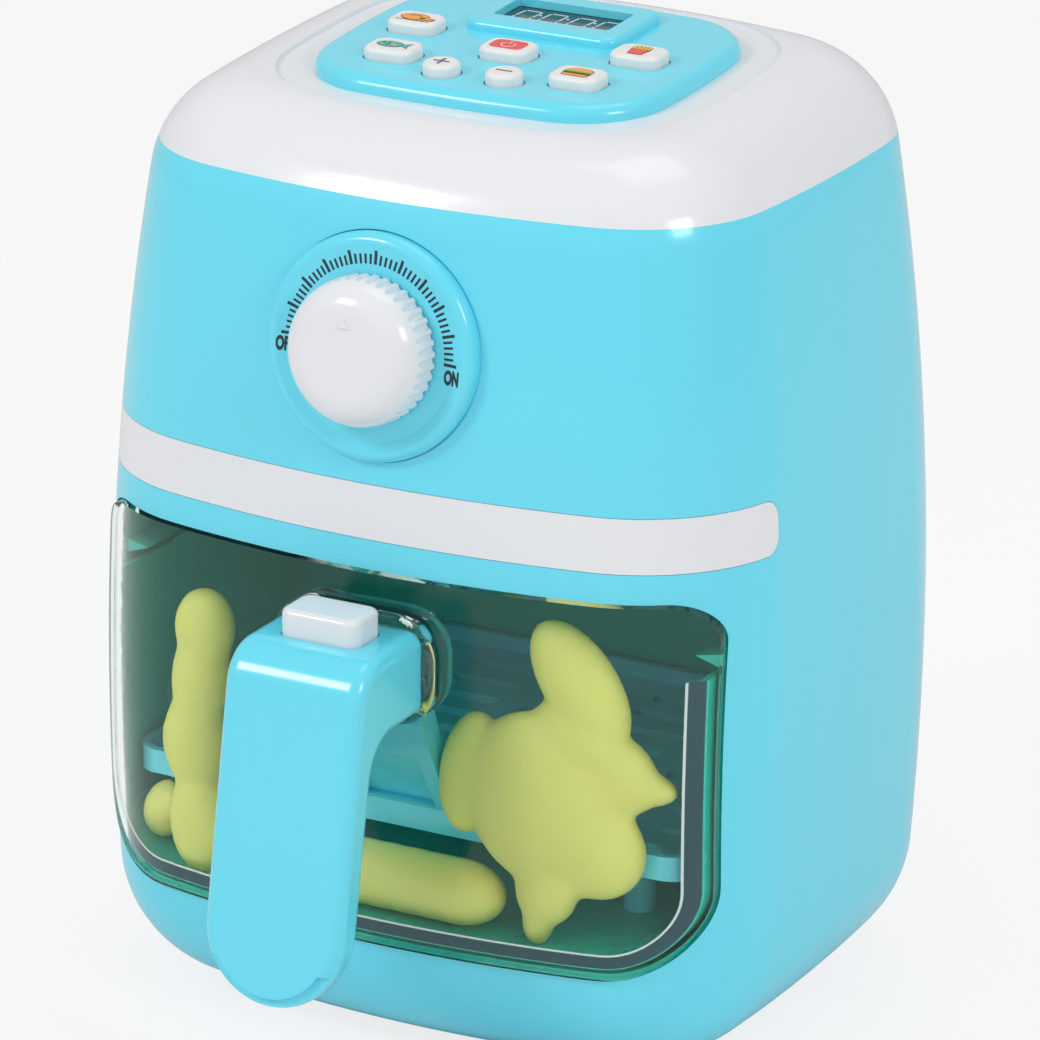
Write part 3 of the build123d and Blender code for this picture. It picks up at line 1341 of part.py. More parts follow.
box_top = BOX_CEILING + BOX_WALL + JOIN_GAP
wire_back = TRAY_BACK + BAY_GAP + LINER_WALL + 4
lead(
    [
        spot(20, 12, box_top),
        spot(20, 12, box_top + 8),
        spot(31, wire_back, box_top + 8.2),
        spot(31, wire_back, 204),
        spot(31, 21, 210),
        spot(31, 21, board_under(21)),
    ],
    "battery_leads",
)
magnet_y = speaker_y + speaker_back - MAGNET_DEPTH
lead(
    [
        spot(6, magnet_y - JOIN_GAP, SPEAKER_Z - 1),
        spot(6, magnet_y - 9, SPEAKER_Z - 1.5),
        spot(6, magnet_y - 9.2, 211),
        spot(6, 24, 214),
        spot(6, 24, board_under(24)),
    ],
    "speaker_leads",
)
switch_y = dial_y - switch_front + BEZEL_WALL + SWITCH_DEPTH
lead(
    [
        spot(-5, switch_y + JOIN_GAP, DIAL_Z - 3),
        spot(-5, switch_y + 9, DIAL_Z - 2.5),
        spot(-5, switch_y + 9.2, 209),
        spot(-5, -20, 211),
        spot(-5, -20, board_under(-20)),
    ],
    "dial_leads",
)

# Play food, lying between the window and the rack


def lump(radii):
    """One rounded lump of soft vinyl, centred on the origin."""
    with BuildPart() as form:
        Sphere(1)
        scale(by=radii)
    return form.part


def play_food(name, lumps):
    """Lumps joined into one piece: each has a centre, three radii and a turn."""
    shapes = [(Location(spot(*at), (0, turn, 0)), lump(radii)) for at, radii, turn in lumps]
    with BuildPart() as food:
        for place, shape in shapes:
            with Locations(place):
                add(shape)
    save(food, name)


play_food(
    "roast_chicken",
    [
        ((41, -66.4, 70), (20.5, 7.4, 24), -8),
        ((40, -65.5, 94), (13, 7, 15), 10),
        ((38, -65.3, 105), (6, 5, 9.5), -8),
        ((60, -61.2, 77), (13.5, 5.6, 9), 0),
        ((41, -67.4, 46), (7, 5.2, 9.5), 0),
        ((24, -66.8, 82), (8, 5.8, 12), 12),
    ],
)
play_food(
    "drumstick",
    [
        ((-50, -66.2, 47), (7, 5.8, 11), 0),
        ((-53, -66.2, 66), (8, 5.8, 15), 0),
        ((-50.5, -65.4, 92), (8.5, 6.4, 15), 8),
    ],
)
play_food("nugget", [((-65.5, -59.2, 44.6), (6, 5, 8), -15)])

with BuildPart() as sausage:
    with BuildSketch(sideways(SAUSAGE_LEFT, SAUSAGE_Y, TRAY_FLOOR + TRAY_WALL + SAUSAGE_R + JOIN_GAP)):
        Circle(SAUSAGE_R)
    extrude(amount=SAUSAGE_LENGTH)
    for x in (SAUSAGE_LEFT, SAUSAGE_LEFT + SAUSAGE_LENGTH):
        with Locations(spot(x, SAUSAGE_Y, TRAY_FLOOR + TRAY_WALL + SAUSAGE_R + JOIN_GAP)):
            Sphere(SAUSAGE_R)
save(sausage, "sausage")
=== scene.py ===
import json
import math

import bmesh
import bpy
from mathutils import Euler, Matrix, Vector
from mathutils.bvhtree import BVHTree


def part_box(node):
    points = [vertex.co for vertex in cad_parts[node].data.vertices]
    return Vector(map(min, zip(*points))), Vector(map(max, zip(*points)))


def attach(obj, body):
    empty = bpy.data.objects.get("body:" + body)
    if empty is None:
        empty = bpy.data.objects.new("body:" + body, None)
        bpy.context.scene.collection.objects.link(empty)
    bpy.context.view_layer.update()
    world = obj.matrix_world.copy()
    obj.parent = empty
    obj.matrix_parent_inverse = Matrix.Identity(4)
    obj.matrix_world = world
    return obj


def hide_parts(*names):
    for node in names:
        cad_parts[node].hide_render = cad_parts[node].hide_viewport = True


# Looks of a toy air fryer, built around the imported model, in metres unless a heading says otherwise
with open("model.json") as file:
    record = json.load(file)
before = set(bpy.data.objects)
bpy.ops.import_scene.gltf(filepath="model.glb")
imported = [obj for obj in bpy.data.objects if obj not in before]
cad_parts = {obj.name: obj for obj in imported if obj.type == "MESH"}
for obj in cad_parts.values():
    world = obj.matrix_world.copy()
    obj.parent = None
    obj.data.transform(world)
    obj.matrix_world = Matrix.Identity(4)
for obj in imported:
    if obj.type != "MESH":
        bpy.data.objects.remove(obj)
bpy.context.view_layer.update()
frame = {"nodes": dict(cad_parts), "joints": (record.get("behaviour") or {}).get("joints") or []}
MM = 0.001
NODES = frame["nodes"]
JOINTS = {joint["name"]: joint for joint in frame["joints"]}
RIGHT = Vector((1, 0, 0))
PANEL_OUT = -Vector(JOINTS["power_press"]["axis"]).normalized()

# Camera: the photograph's frame is 1040 pixels square, and the sensor's width is in millimetres
IMAGE_SIDE = 1040
FOCAL_PIXELS = 6099.1
CENTRE_PIXEL = (523.2, 549.95)
CAMERA_AZIMUTH = math.radians(27.55)
CAMERA_ELEVATION = math.radians(19.65)
CAMERA_ROLL = math.radians(0.86)
CAMERA_DISTANCE = 1.48845
SENSOR = 36.0
AIM_HEIGHT = 0.105

# Studio: the surroundings' brightness, the floor's glow and half side, and soft boxes in watts
WORLD_LIGHT = 0.58
FLOOR_GLOW = 0.8
FLOOR_HALF = 6
FLOOR_SQUARES = 8
LIGHT_AIM = (0, 0.02, 0.12)
SOFT_BOXES = {
    "soft_box_left": {"place": (-0.9, -1.3, 1.3), "size": 0.45, "power": 9},
    "soft_box_right": {"place": (1.4, -0.6, 1.0), "size": 0.45, "power": 5.5},
    "soft_box_top": {"place": (0.1, 0.2, 1.6), "size": 0.8, "power": 2.5},
}

# Colours, as linear values
FLOOR = (0.86, 0.86, 0.86)
TEAL = (0.15, 0.78, 0.96)
# The body's teal painted darker for the chamber's shade and greener for the food's reflections: painted
# shade and a painted reflection cast
TEAL_PAINTED_SHADE = (0.02, 0.62, 0.50)
WHITE = (0.85, 0.865, 0.895)
KEY_WHITE = (0.87, 0.87, 0.86)
FOOD = (1.0, 0.88, 0.25)
GLASS_TINT = (0.92, 0.985, 0.95)
INK = (0.015, 0.03, 0.05)
GREY_INK = (0.16, 0.16, 0.18)
STEEL = (0.55, 0.55, 0.56)
DARK_METAL = (0.10, 0.10, 0.11)
GREY = (0.15, 0.16, 0.17)
BOARD = (0.01, 0.09, 0.03)
JACKET = (0.45, 0.24, 0.03)
WIRE = (0.50, 0.02, 0.02)
LENS = (0.006, 0.022, 0.03)
DIGITS = (0.55, 0.72, 0.75)
# Dark strip of painted shade where the tray's edge shows dark through the window
EDGE_SHADE = (0.01, 0.07, 0.10)
RUBBER = (0.62, 0.63, 0.64)
ICON_COLOURS = {
    "orange": (0.95, 0.40, 0.05),
    "brown": (0.16, 0.05, 0.02),
    "teal": (0.06, 0.52, 0.45),
    "red": (0.86, 0.10, 0.10),
    "pink": (0.95, 0.55, 0.52),
    "yellow": (0.95, 0.62, 0.06),
    "green": (0.20, 0.55, 0.08),
}

# Surfaces: a noise texture's usual lowest and highest values, bending of light, and depths
NOISE_LOW = 0.3
NOISE_HIGH = 0.7
PLASTIC_IOR = 1.5
CLEAR_IOR = 1.3
COAT_ROUGHNESS = 0.06
PLASTIC_GRAIN = 0.02 * MM
VINYL_GRAIN = 0.2 * MM
VINYL_DEPTH = 6 * MM
VINYL_GLOW = (1.0, 0.8, 0.25)

# Prints on the keys, in millimetres
PRINT_RISE = 0.05
FINE_LINE = 0.25
SIGN_HALF = 2.1
SIGN_WIDTH = 0.75

# Display: four digits and the dots between them, in millimetres, and the gap as a share of half a digit
DIGITS_X = (-10.8, -3.8, 3.8, 10.8)
DIGIT_WIDE = 4.6
DIGIT_HIGH = 9.0
DIGIT_BAR = 0.55
DIGIT_GAP = 0.12
DIGIT_SLANT = math.radians(8)
DOTS_X = (-7.3, 0, 7.3)
DOTS_Y = (-2.2, 2.2)
DOT_R = 0.45
DOT_STEPS = 12

# Dial plate's face, ticks and words: millimetres, degrees around the plate's axis, and shares of them
BEZEL_FACE = 2.5
BEZEL_SLOPE_START = 22.0
BEZEL_SLOPE = 0.2
TICKS = 51
TICKS_PER_LONG = 5
TICK_FIRST = 179.0
TICK_LAST = -2.0
TICK_IN = 19.7
TICK_SHORT = 22.0
TICK_LONG = 23.0
TICK_WIDTH = 0.55
LONG_TICK_WIDER = 1.3
LETTER_HEIGHT = 3.2
LETTER_NARROW = 0.56
LETTER_BOLD = 0.075
CAPITAL_SHARE = 0.72
OFF_PLACE = (-22.0, -2.4)
ON_PLACE = (21.9, -3.8)

# Play food: the melted skin's grid and the sausage's lumps in millimetres, and how skins are smoothed
FOOD_VOXEL = 1.0
NUGGET_VOXEL = 0.6
SOFTEN = 0.6
SOFTEN_ROUNDS = 14
SAUSAGE_X = (20, 14, 7, 0, -6)

# Painted shade: a dark strip along the tray's mouth where its edge shows dark through the window, and a
# white painted highlight line beside it, in millimetres
SHADE_INSET = 0.3
SHADE_WIDTH = 3.0
# Width of the white strip of painted highlight beside the dark strip
HIGHLIGHT_WIDTH = 0.5
STRIP_STEP = 4
STRIP_NEAR = 0.02
STRIP_FAR = 0.08
TRAY_CORNER = 19.5
CORNER_STEPS = 16


def camera():
    """The camera at the photograph's place, aimed near the middle of the body."""
    a, e, r = CAMERA_AZIMUTH, CAMERA_ELEVATION, CAMERA_ROLL
    back = Vector((math.sin(a) * math.cos(e), -math.cos(a) * math.cos(e), math.sin(e)))
    level_right = Vector((math.cos(a), math.sin(a), 0))
    level_up = back.cross(level_right)
    right = math.cos(r) * level_right + math.sin(r) * level_up
    up = math.cos(r) * level_up - math.sin(r) * level_right
    turn = Matrix((right, up, back)).transposed().to_4x4()
    low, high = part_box("housing_shell")
    aim = Vector((0, (low.y + high.y) / 2, low.z + AIM_HEIGHT))
    data = bpy.data.cameras.new("camera")
    data.sensor_width = SENSOR
    data.lens = FOCAL_PIXELS * SENSOR / IMAGE_SIDE
    data.shift_x = (IMAGE_SIDE / 2 - CENTRE_PIXEL[0]) / IMAGE_SIDE
    data.shift_y = (CENTRE_PIXEL[1] - IMAGE_SIDE / 2) / IMAGE_SIDE
    obj = bpy.data.objects.new("camera", data)
    obj.matrix_world = Matrix.Translation(aim + back * CAMERA_DISTANCE) @ turn
    bpy.context.scene.collection.objects.link(obj)
    bpy.context.scene.camera = obj


# Materials


def new_material(name, colour, roughness):
    """A material with its shader's colour and roughness set."""
    mat = bpy.data.materials.new(name)
    mat.use_nodes = True
    shader = mat.node_tree.nodes["Principled BSDF"]
    shader.inputs["Base Color"].default_value = (*colour, 1)
    shader.inputs["Roughness"].default_value = roughness
    return mat, shader


def add_noise(mat, scale, detail=2.0):
    """A noise texture in the object's own coordinates, sized per metre."""
    nodes = mat.node_tree.nodes
    links = mat.node_tree.links
    place = nodes.new("ShaderNodeTexCoord")
    noise = nodes.new("ShaderNodeTexNoise")
    noise.inputs["Scale"].default_value = scale
    noise.inputs["Detail"].default_value = detail
    links.new(place.outputs["Object"], noise.inputs["Vector"])
    return noise.outputs["Fac"]


def uneven_gloss(mat, shader, fac, low, high):
    """Let the roughness wander between two limits with a texture."""
    spread = mat.node_tree.nodes.new("ShaderNodeMapRange")
    spread.inputs["From Min"].default_value = NOISE_LOW
    spread.inputs["From Max"].default_value = NOISE_HIGH
    spread.inputs["To Min"].default_value = low
    spread.inputs["To Max"].default_value = high
    mat.node_tree.links.new(fac, spread.inputs["Value"])
    mat.node_tree.links.new(spread.outputs["Result"], shader.inputs["Roughness"])


def tint(mat, shader, fac, colour, change):
    """Let the base colour wander slightly in brightness."""
    mix = mat.node_tree.nodes.new("ShaderNodeMix")
    mix.data_type = "RGBA"
    mix.inputs["A"].default_value = (*(c * (1 - change) for c in colour), 1)
    mix.inputs["B"].default_value = (*(min(1, c * (1 + change)) for c in colour), 1)
    mat.node_tree.links.new(fac, mix.inputs["Factor"])
    mat.node_tree.links.new(mix.outputs["Result"], shader.inputs["Base Color"])


def roughen(mat, shader, fac, height, strength):
    """Bump from a texture: height in metres."""
    bump = mat.node_tree.nodes.new("ShaderNodeBump")
    bump.inputs["Distance"].default_value = height
    bump.inputs["Strength"].default_value = strength
    mat.node_tree.links.new(fac, bump.inputs["Height"])
    mat.node_tree.links.new(bump.outputs["Normal"], shader.inputs["Normal"])


def plastic(name, colour, roughness, coat=0.0, grain=0.05):
    """Moulded plastic: faint uneven gloss, a trace of mould texture, slight colour drift."""
    mat, shader = new_material(name, colour, roughness)
    shader.inputs["IOR"].default_value = PLASTIC_IOR
    shader.inputs["Coat Weight"].default_value = coat
    shader.inputs["Coat Roughness"].default_value = COAT_ROUGHNESS
    uneven_gloss(mat, shader, add_noise(mat, scale=25), low=roughness * 0.85, high=roughness * 1.2)
    tint(mat, shader, add_noise(mat, scale=9), colour, change=0.02)
    roughen(mat, shader, add_noise(mat, scale=1500, detail=3), PLASTIC_GRAIN, grain)
    return mat


def metal(name, colour, roughness):
    """Plain plated metal with a fine uneven finish."""
    mat, shader = new_material(name, colour, roughness)
    shader.inputs["Metallic"].default_value = 1.0
    uneven_gloss(mat, shader, add_noise(mat, scale=700), low=roughness * 0.8, high=roughness * 1.3)
    return mat


def clear_plastic(name, colour):
    """Clear moulded plastic, faintly tinted, with almost no surface texture."""
    mat, shader = new_material(name, colour, roughness=0.02)
    shader.inputs["Transmission Weight"].default_value = 1.0
    shader.inputs["IOR"].default_value = CLEAR_IOR
    uneven_gloss(mat, shader, add_noise(mat, scale=40), low=0.01, high=0.03)
    return mat


def vinyl(name, colour):
    """Soft, slightly see-through vinyl of the play food."""
    mat, shader = new_material(name, colour, roughness=0.38)
    shader.inputs["Subsurface Weight"].default_value = 0.6
    shader.inputs["Subsurface Scale"].default_value = VINYL_DEPTH
    shader.inputs["Subsurface Radius"].default_value = VINYL_GLOW
    uneven_gloss(mat, shader, add_noise(mat, scale=60), low=0.3, high=0.45)
    tint(mat, shader, add_noise(mat, scale=30), colour, change=0.06)
    roughen(mat, shader, add_noise(mat, scale=220), VINYL_GRAIN, strength=0.15)
    return mat


def dress(mat, *names):
    """Give CAD pieces a material."""
    for name in names:
        mesh = NODES[name].data
        mesh.materials.clear()
        mesh.materials.append(mat)


# Studio


def seen_directly(nodes, links):
    """One for rays from the camera, or through clear plastic, and else nought."""
    path = nodes.new("ShaderNodeLightPath")
    either = nodes.new("ShaderNodeMath")
    either.operation = "MAXIMUM"
    links.new(path.outputs["Is Camera Ray"], either.inputs[0])
    links.new(path.outputs["Is Transmission Ray"], either.inputs[1])
    return either.outputs["Value"]


def floor_material():
    """A pale floor that fades into the white surroundings where it is seen directly."""
    mat, shader = new_material("floor_white", FLOOR, roughness=0.7)
    tint(mat, shader, add_noise(mat, scale=3), FLOOR, change=0.01)
    nodes, links = mat.node_tree.nodes, mat.node_tree.links
    glow = nodes.new("ShaderNodeEmission")
    mix = nodes.new("ShaderNodeMixShader")
    share = nodes.new("ShaderNodeMath")
    share.operation = "MULTIPLY"
    share.inputs[1].default_value = FLOOR_GLOW
    links.new(seen_directly(nodes, links), share.inputs[0])
    links.new(share.outputs["Value"], mix.inputs["Fac"])
    links.new(shader.outputs["BSDF"], mix.inputs[1])
    links.new(glow.outputs["Emission"], mix.inputs[2])
    links.new(mix.outputs["Shader"], nodes["Material Output"].inputs["Surface"])
    return mat


def studio_floor():
    """The flat floor that the toy stands on."""
    mesh = bpy.data.meshes.new("floor")
    grid = bmesh.new()
    bmesh.ops.create_grid(grid, x_segments=FLOOR_SQUARES, y_segments=FLOOR_SQUARES, size=FLOOR_HALF)
    grid.to_mesh(mesh)
    grid.free()
    floor = bpy.data.objects.new("floor", mesh)
    bpy.context.scene.collection.objects.link(floor)
    mesh.materials.append(floor_material())


def surroundings():
    """White all around, brighter to the eye than as a source of light."""
    world = bpy.data.worlds.new("studio")
    bpy.context.scene.world = world
    world.use_nodes = True
    nodes = world.node_tree.nodes
    links = world.node_tree.links
    strength = nodes.new("ShaderNodeMapRange")
    strength.inputs["To Min"].default_value = WORLD_LIGHT
    strength.inputs["To Max"].default_value = 1.0
    links.new(seen_directly(nodes, links), strength.inputs["Value"])
    nodes["Background"].inputs["Color"].default_value = (1, 1, 1, 1)
    links.new(strength.outputs["Result"], nodes["Background"].inputs["Strength"])


def soft_box(name, place, size, power):
    """A square area light that faces the toy."""
    data = bpy.data.lights.new(name, "AREA")
    data.shape = "SQUARE"
    data.size = size
    data.energy = power
    obj = bpy.data.objects.new(name, data)
    obj.location = place
    obj.rotation_euler = (Vector(LIGHT_AIM) - Vector(place)).to_track_quat("-Z", "Y").to_euler()
    bpy.context.scene.collection.objects.link(obj)


def piece(name, mesh, mat, body):
    """Turn a bmesh into a named object on a body."""
    data = bpy.data.meshes.new(name)
    bmesh.ops.recalc_face_normals(mesh, faces=mesh.faces)
    mesh.to_mesh(data)
    mesh.free()
    obj = bpy.data.objects.new(name, data)
    bpy.context.scene.collection.objects.link(obj)
    data.materials.append(mat)
    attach(obj, body)
    return obj


# Flat outlines, as lists of points in millimetres


def ellipse(x, y, rx, ry, first=0, last=360, steps=36):
    """Points around an ellipse, or along a part of one."""
    whole = last - first == 360
    count = steps if whole else steps + 1
    angles = [math.radians(first + (last - first) * i / steps) for i in range(count)]
    return [(x + rx * math.cos(a), y + ry * math.sin(a)) for a in angles]


def rounded(x, y, wide, high, r):
    """A rectangle with round corners."""
    dx, dy = wide / 2 - r, high / 2 - r
    corners = ((dx, dy, 0), (-dx, dy, 90), (-dx, -dy, 180), (dx, -dy, 270))
    return [p for u, v, a in corners for p in ellipse(x + u, y + v, r, r, a, a + 90, steps=6)]


def stroke(start, end, width):
    """A straight bar between two points."""
    dx, dy = end[0] - start[0], end[1] - start[1]
    length = math.hypot(dx, dy)
    nx, ny = -dy / length * width / 2, dx / length * width / 2
    return [
        (start[0] - nx, start[1] - ny),
        (end[0] - nx, end[1] - ny),
        (end[0] + nx, end[1] + ny),
        (start[0] + nx, start[1] + ny),
    ]


def ring_part(x, y, r, width, first, last):
    """A part of a flat ring."""
    outer = ellipse(x, y, r + width / 2, r + width / 2, first, last)
    inner = ellipse(x, y, r - width / 2, r - width / 2, first, last)
    return outer + inner[::-1]


def swollen(outline, amount):
    """An outline moved outwards by a small amount."""
    count = len(outline)
    moved = []
    for i, (x, y) in enumerate(outline):
        ax, ay = outline[i - 1]
        bx, by = outline[(i + 1) % count]
        dx, dy = bx - ax, by - ay
        length = math.hypot(dx, dy)
        moved.append((x + dy / length * amount, y - dx / length * amount))
    return moved


def edges(outlines, width):
    """Larger copies of outlines, which show around them as a dark edge."""
    return [swollen(outline, width) for outline in outlines]


def between(start, end, step, steps):
    """The point that lies some equal steps on the way from one point to another."""
    return tuple(a + (b - a) * step / steps for a, b in zip(start, end))


# Prints on the keys and the display


def slab(mesh, outline, plane, height):
    """Add a flat plate that lies on a plane to a mesh."""
    origin, right, up = plane
    out = right.cross(up)
    lower, upper = (
        [mesh.verts.new(origin + (x * right + y * up + h * out) * MM) for x, y in outline]
        for h in (0, height)
    )
    mesh.faces.new(upper)
    mesh.faces.new(lower[::-1])
    for i in range(len(outline)):
        j = (i + 1) % len(outline)
        mesh.faces.new((lower[i], lower[j], upper[j], upper[i]))


def printed(name, outlines, plane, mat, body, layer=1):
    """Thin printed shapes that lie on a plane, higher with each layer."""
    mesh = bmesh.new()
    for outline in outlines:
        slab(mesh, outline, plane, layer * PRINT_RISE)
    piece(name, mesh, mat, body)


def reach(node, direction):
    """How far a CAD piece reaches along a direction."""
    return max(v.co.dot(direction) for v in NODES[node].data.vertices)


def top_plane(node):
    """Plane on top of a piece of the panel: its centre, its right and its rear."""
    up = PANEL_OUT.cross(RIGHT)
    across = (reach(node, RIGHT) - reach(node, -RIGHT)) / 2
    along = (reach(node, up) - reach(node, -up)) / 2
    return RIGHT * across + up * along + PANEL_OUT * reach(node, PANEL_OUT), RIGHT, up


def roast_picture(inks):
    """A roast bird with a leg bone, on a dish."""
    bird = [ellipse(-0.5, 0.1, 3.4, 2.2), ellipse(2.6, -0.7, 1.7, 0.9)]
    bone = [ellipse(4.3, -1.2, 0.55, 0.45), ellipse(4.4, -0.5, 0.5, 0.45)]
    fold = [ring_part(-0.4, -0.4, 1.7, FINE_LINE, 20, 150)]
    dish = [stroke((-4.4, -2.5), (4.4, -2.5), width=0.35)]
    dark = edges(bird + bone, width=0.3) + dish
    return [(inks["brown"], dark), (inks["orange"], bird + bone), (inks["brown"], fold)]


def fish_picture(inks):
    """A fish with a fin, an eye and its gill's line."""
    fish = [ellipse(-0.8, 0, 3.3, 1.9), [(1.8, 0), (4.4, -1.8), (3.7, 0), (4.4, 1.9)]]
    marks = [ellipse(-2.7, 0.45, 0.32, 0.32, steps=12), ring_part(-2.6, 0, 1.5, FINE_LINE, -50, 50)]
    fin = [[(-0.6, -0.5), (0.9, -1.1), (0.7, 0.2)]]
    dark = edges(fish, width=0.25)
    return [(inks["brown"], dark), (inks["teal"], fish), (inks["orange"], fin), (inks["brown"], marks)]


def power_picture(inks):
    """A power sign on a red pad."""
    pad = [rounded(0, 0, 8.8, 6.0, 1.8)]
    sign = [ring_part(0, -0.2, 1.7, 0.4, -235, 55), stroke((0, 0.2), (0, 2.1), width=0.4)]
    return [(inks["red"], pad), (inks["pink"], sign)]


def burger_picture(inks):
    """A bun with a leaf and a patty, which shows as the dark part between them."""
    bun = [ellipse(0, 0.5, 3.4, 2.2, 0, 180), rounded(0, -2.1, 6.4, 1.1, 0.5)]
    leaf = [rounded(0, 0.15, 7.4, 0.7, 0.3)]
    patty = [rounded(0, -0.8, 6.8, 1.1, 0.5)]
    dark = edges(bun + patty, width=0.25)
    return [(inks["brown"], dark), (inks["orange"], bun), (inks["green"], leaf)]


def fries_picture(inks):
    """Fries of uneven height, fanned out in a carton."""
    rises = {-1.7: 0, -0.85: 0.5, 0: 0.2, 0.85: 0.5, 1.7: 0}
    sticks = [stroke((x, -0.3), (1.15 * x, 2.6 + rise), width=0.62) for x, rise in rises.items()]
    carton = [[(-1.7, -3.0), (1.7, -3.0), (2.4, 1.0), (1.2, 0.5), (-1.2, 0.5), (-2.4, 1.0)]]
    dark = edges(carton + sticks, width=0.2)
    return [(inks["brown"], dark), (inks["yellow"], sticks), (inks["red"], carton)]


def key_pictures(sign_ink, inks):
    """Print each key's small picture, from its lowest layer up."""
    level_bar = stroke((-SIGN_HALF, 0), (SIGN_HALF, 0), SIGN_WIDTH)
    upright_bar = stroke((0, -SIGN_HALF), (0, SIGN_HALF), SIGN_WIDTH)
    pictures = {
        "roast": roast_picture(inks),
        "fish": fish_picture(inks),
        "power": power_picture(inks),
        "burger": burger_picture(inks),
        "fries": fries_picture(inks),
        "plus": [(sign_ink, [level_bar, upright_bar])],
        "minus": [(sign_ink, [level_bar])],
    }
    for key, layers in pictures.items():
        plane = top_plane(f"{key}_button")
        for number, (mat, outlines) in enumerate(layers, start=1):
            printed(f"icon_{key}_{number}", outlines, plane, mat, f"{key}_key", number)


def zero_digit(x):
    """The six outer bars of a display digit, which show a zero."""

    def point(u, v):
        height = v * DIGIT_HIGH / 2
        return (x + u * DIGIT_WIDE / 2 + height * math.tan(DIGIT_SLANT), height)

    inner, gap = 1 - DIGIT_GAP, DIGIT_GAP / 2
    bars = []
    for side in (-1, 1):
        bars.append(stroke(point(-side * inner, side), point(side * inner, side), DIGIT_BAR))
        bars.append(stroke(point(side, gap), point(side, 1 - gap), DIGIT_BAR))
        bars.append(stroke(point(side, gap - 1), point(side, -gap), DIGIT_BAR))
    return bars


def display_digits(mat):
    """Zeros and dots on the display's window."""
    digits = [bar for x in DIGITS_X for bar in zero_digit(x)]
    dots = [ellipse(x, y, DOT_R, DOT_R, steps=DOT_STEPS) for x in DOTS_X for y in DOTS_Y]
    printed("display_digits", digits + dots, top_plane("display_lens"), mat, "body")


# Prints on the dial plate


def dial_plane():
    """Plane at the timer's place on the wall."""
    joint = JOINTS["timer_turn"]
    out = Vector(joint["axis"]).normalized()
    return Vector(joint["pos_m"]), RIGHT, out.cross(RIGHT)


def bezel_height(r):
    """Height of the dial plate's dished face at a distance from its axis."""
    return BEZEL_FACE + max(0, r - BEZEL_SLOPE_START) * BEZEL_SLOPE


def tick(mesh, turn, width, end):
    """Add a tick that points outwards and follows the plate's dished face."""
    origin, right, up = dial_plane()
    out = right.cross(up)
    along = math.cos(turn) * right + math.sin(turn) * up
    across = out.cross(along)
    rows = []
    for r in (TICK_IN, BEZEL_SLOPE_START, end):
        for rise in (0, PRINT_RISE):
            lift = out * (bezel_height(r) + rise)
            rows.append([
                mesh.verts.new(origin + (along * r + across * side * width / 2 + lift) * MM)
                for side in (-1, 1)
            ])
    for first in (0, 2):
        low, high, next_low, next_high = rows[first:first + 4]
        mesh.faces.new((*high, *next_high[::-1]))
        mesh.faces.new((*low, *next_low[::-1]))
        for side in (0, 1):
            mesh.faces.new((low[side], high[side], next_high[side], next_low[side]))
    for low, high in (rows[:2], rows[-2:]):
        mesh.faces.new((*low, *high[::-1]))


def dial_scale(mat):
    """The scale's short and long ticks."""
    mesh = bmesh.new()
    for number in range(TICKS):
        turn = math.radians(TICK_FIRST + (TICK_LAST - TICK_FIRST) * number / (TICKS - 1))
        if number % TICKS_PER_LONG == 0:
            tick(mesh, turn, TICK_WIDTH * LONG_TICK_WIDER, TICK_LONG)
        else:
            tick(mesh, turn, TICK_WIDTH, TICK_SHORT)
    piece("dial_ticks", mesh, mat, "body")


def dial_word(name, text, place, mat):
    """Bold narrow letters on the dial plate, centred at a place in millimetres."""
    origin, right, up = dial_plane()
    out = right.cross(up)
    curve = bpy.data.curves.new(name, "FONT")
    curve.body = text
    curve.align_x = "CENTER"
    curve.align_y = "CENTER"
    curve.size = LETTER_HEIGHT / CAPITAL_SHARE
    curve.offset = LETTER_BOLD * LETTER_HEIGHT
    curve.extrude = PRINT_RISE / 2
    curve.resolution_u = 4
    holder = bpy.data.objects.new(name + "_outline", curve)
    bpy.context.scene.collection.objects.link(holder)
    bpy.context.view_layer.update()
    mesh = bmesh.new()
    mesh.from_mesh(bpy.data.meshes.new_from_object(holder))
    bpy.data.objects.remove(holder)
    for vert in mesh.verts:
        u, v, w = vert.co
        across, along = place[0] + LETTER_NARROW * u, place[1] + v
        face = bezel_height(math.hypot(across, along)) + PRINT_RISE / 2 + w
        vert.co = origin + (across * right + along * up + face * out) * MM
    piece(name, mesh, mat, "body")


# Play food: each lump has a place, three radii and a turn, in millimetres and degrees


def melt(obj, voxel):
    """Melt an object's overlapping lumps into one smooth skin."""
    remesh = obj.modifiers.new("melt", "REMESH")
    remesh.mode = "VOXEL"
    remesh.voxel_size = voxel * MM
    smooth = obj.modifiers.new("soften", "SMOOTH")
    smooth.factor = SOFTEN
    smooth.iterations = SOFTEN_ROUNDS
    bpy.context.view_layer.update()
    melted = obj.evaluated_get(bpy.context.evaluated_depsgraph_get())
    data = bpy.data.meshes.new_from_object(melted)
    obj.modifiers.clear()
    obj.data = data
    data.shade_smooth()


def blob(name, node, lumps, mat, voxel=FOOD_VOXEL):
    """Soft play food, in place of its plain CAD piece."""
    low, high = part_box("housing_shell")
    centre = Vector((0, (low.y + high.y) / 2, low.z))
    mesh = bmesh.new()
    for place, radii, turn in lumps:
        spin = Euler((0, math.radians(turn), 0)).to_matrix().to_4x4()
        size = Matrix.Diagonal((*(r * MM for r in radii), 1))
        where = Matrix.Translation(centre + Vector(place) * MM)
        bmesh.ops.create_icosphere(mesh, subdivisions=4, radius=1, matrix=where @ spin @ size)
    obj = piece(name, mesh, mat, "drawer")
    melt(obj, voxel)
    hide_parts(node)


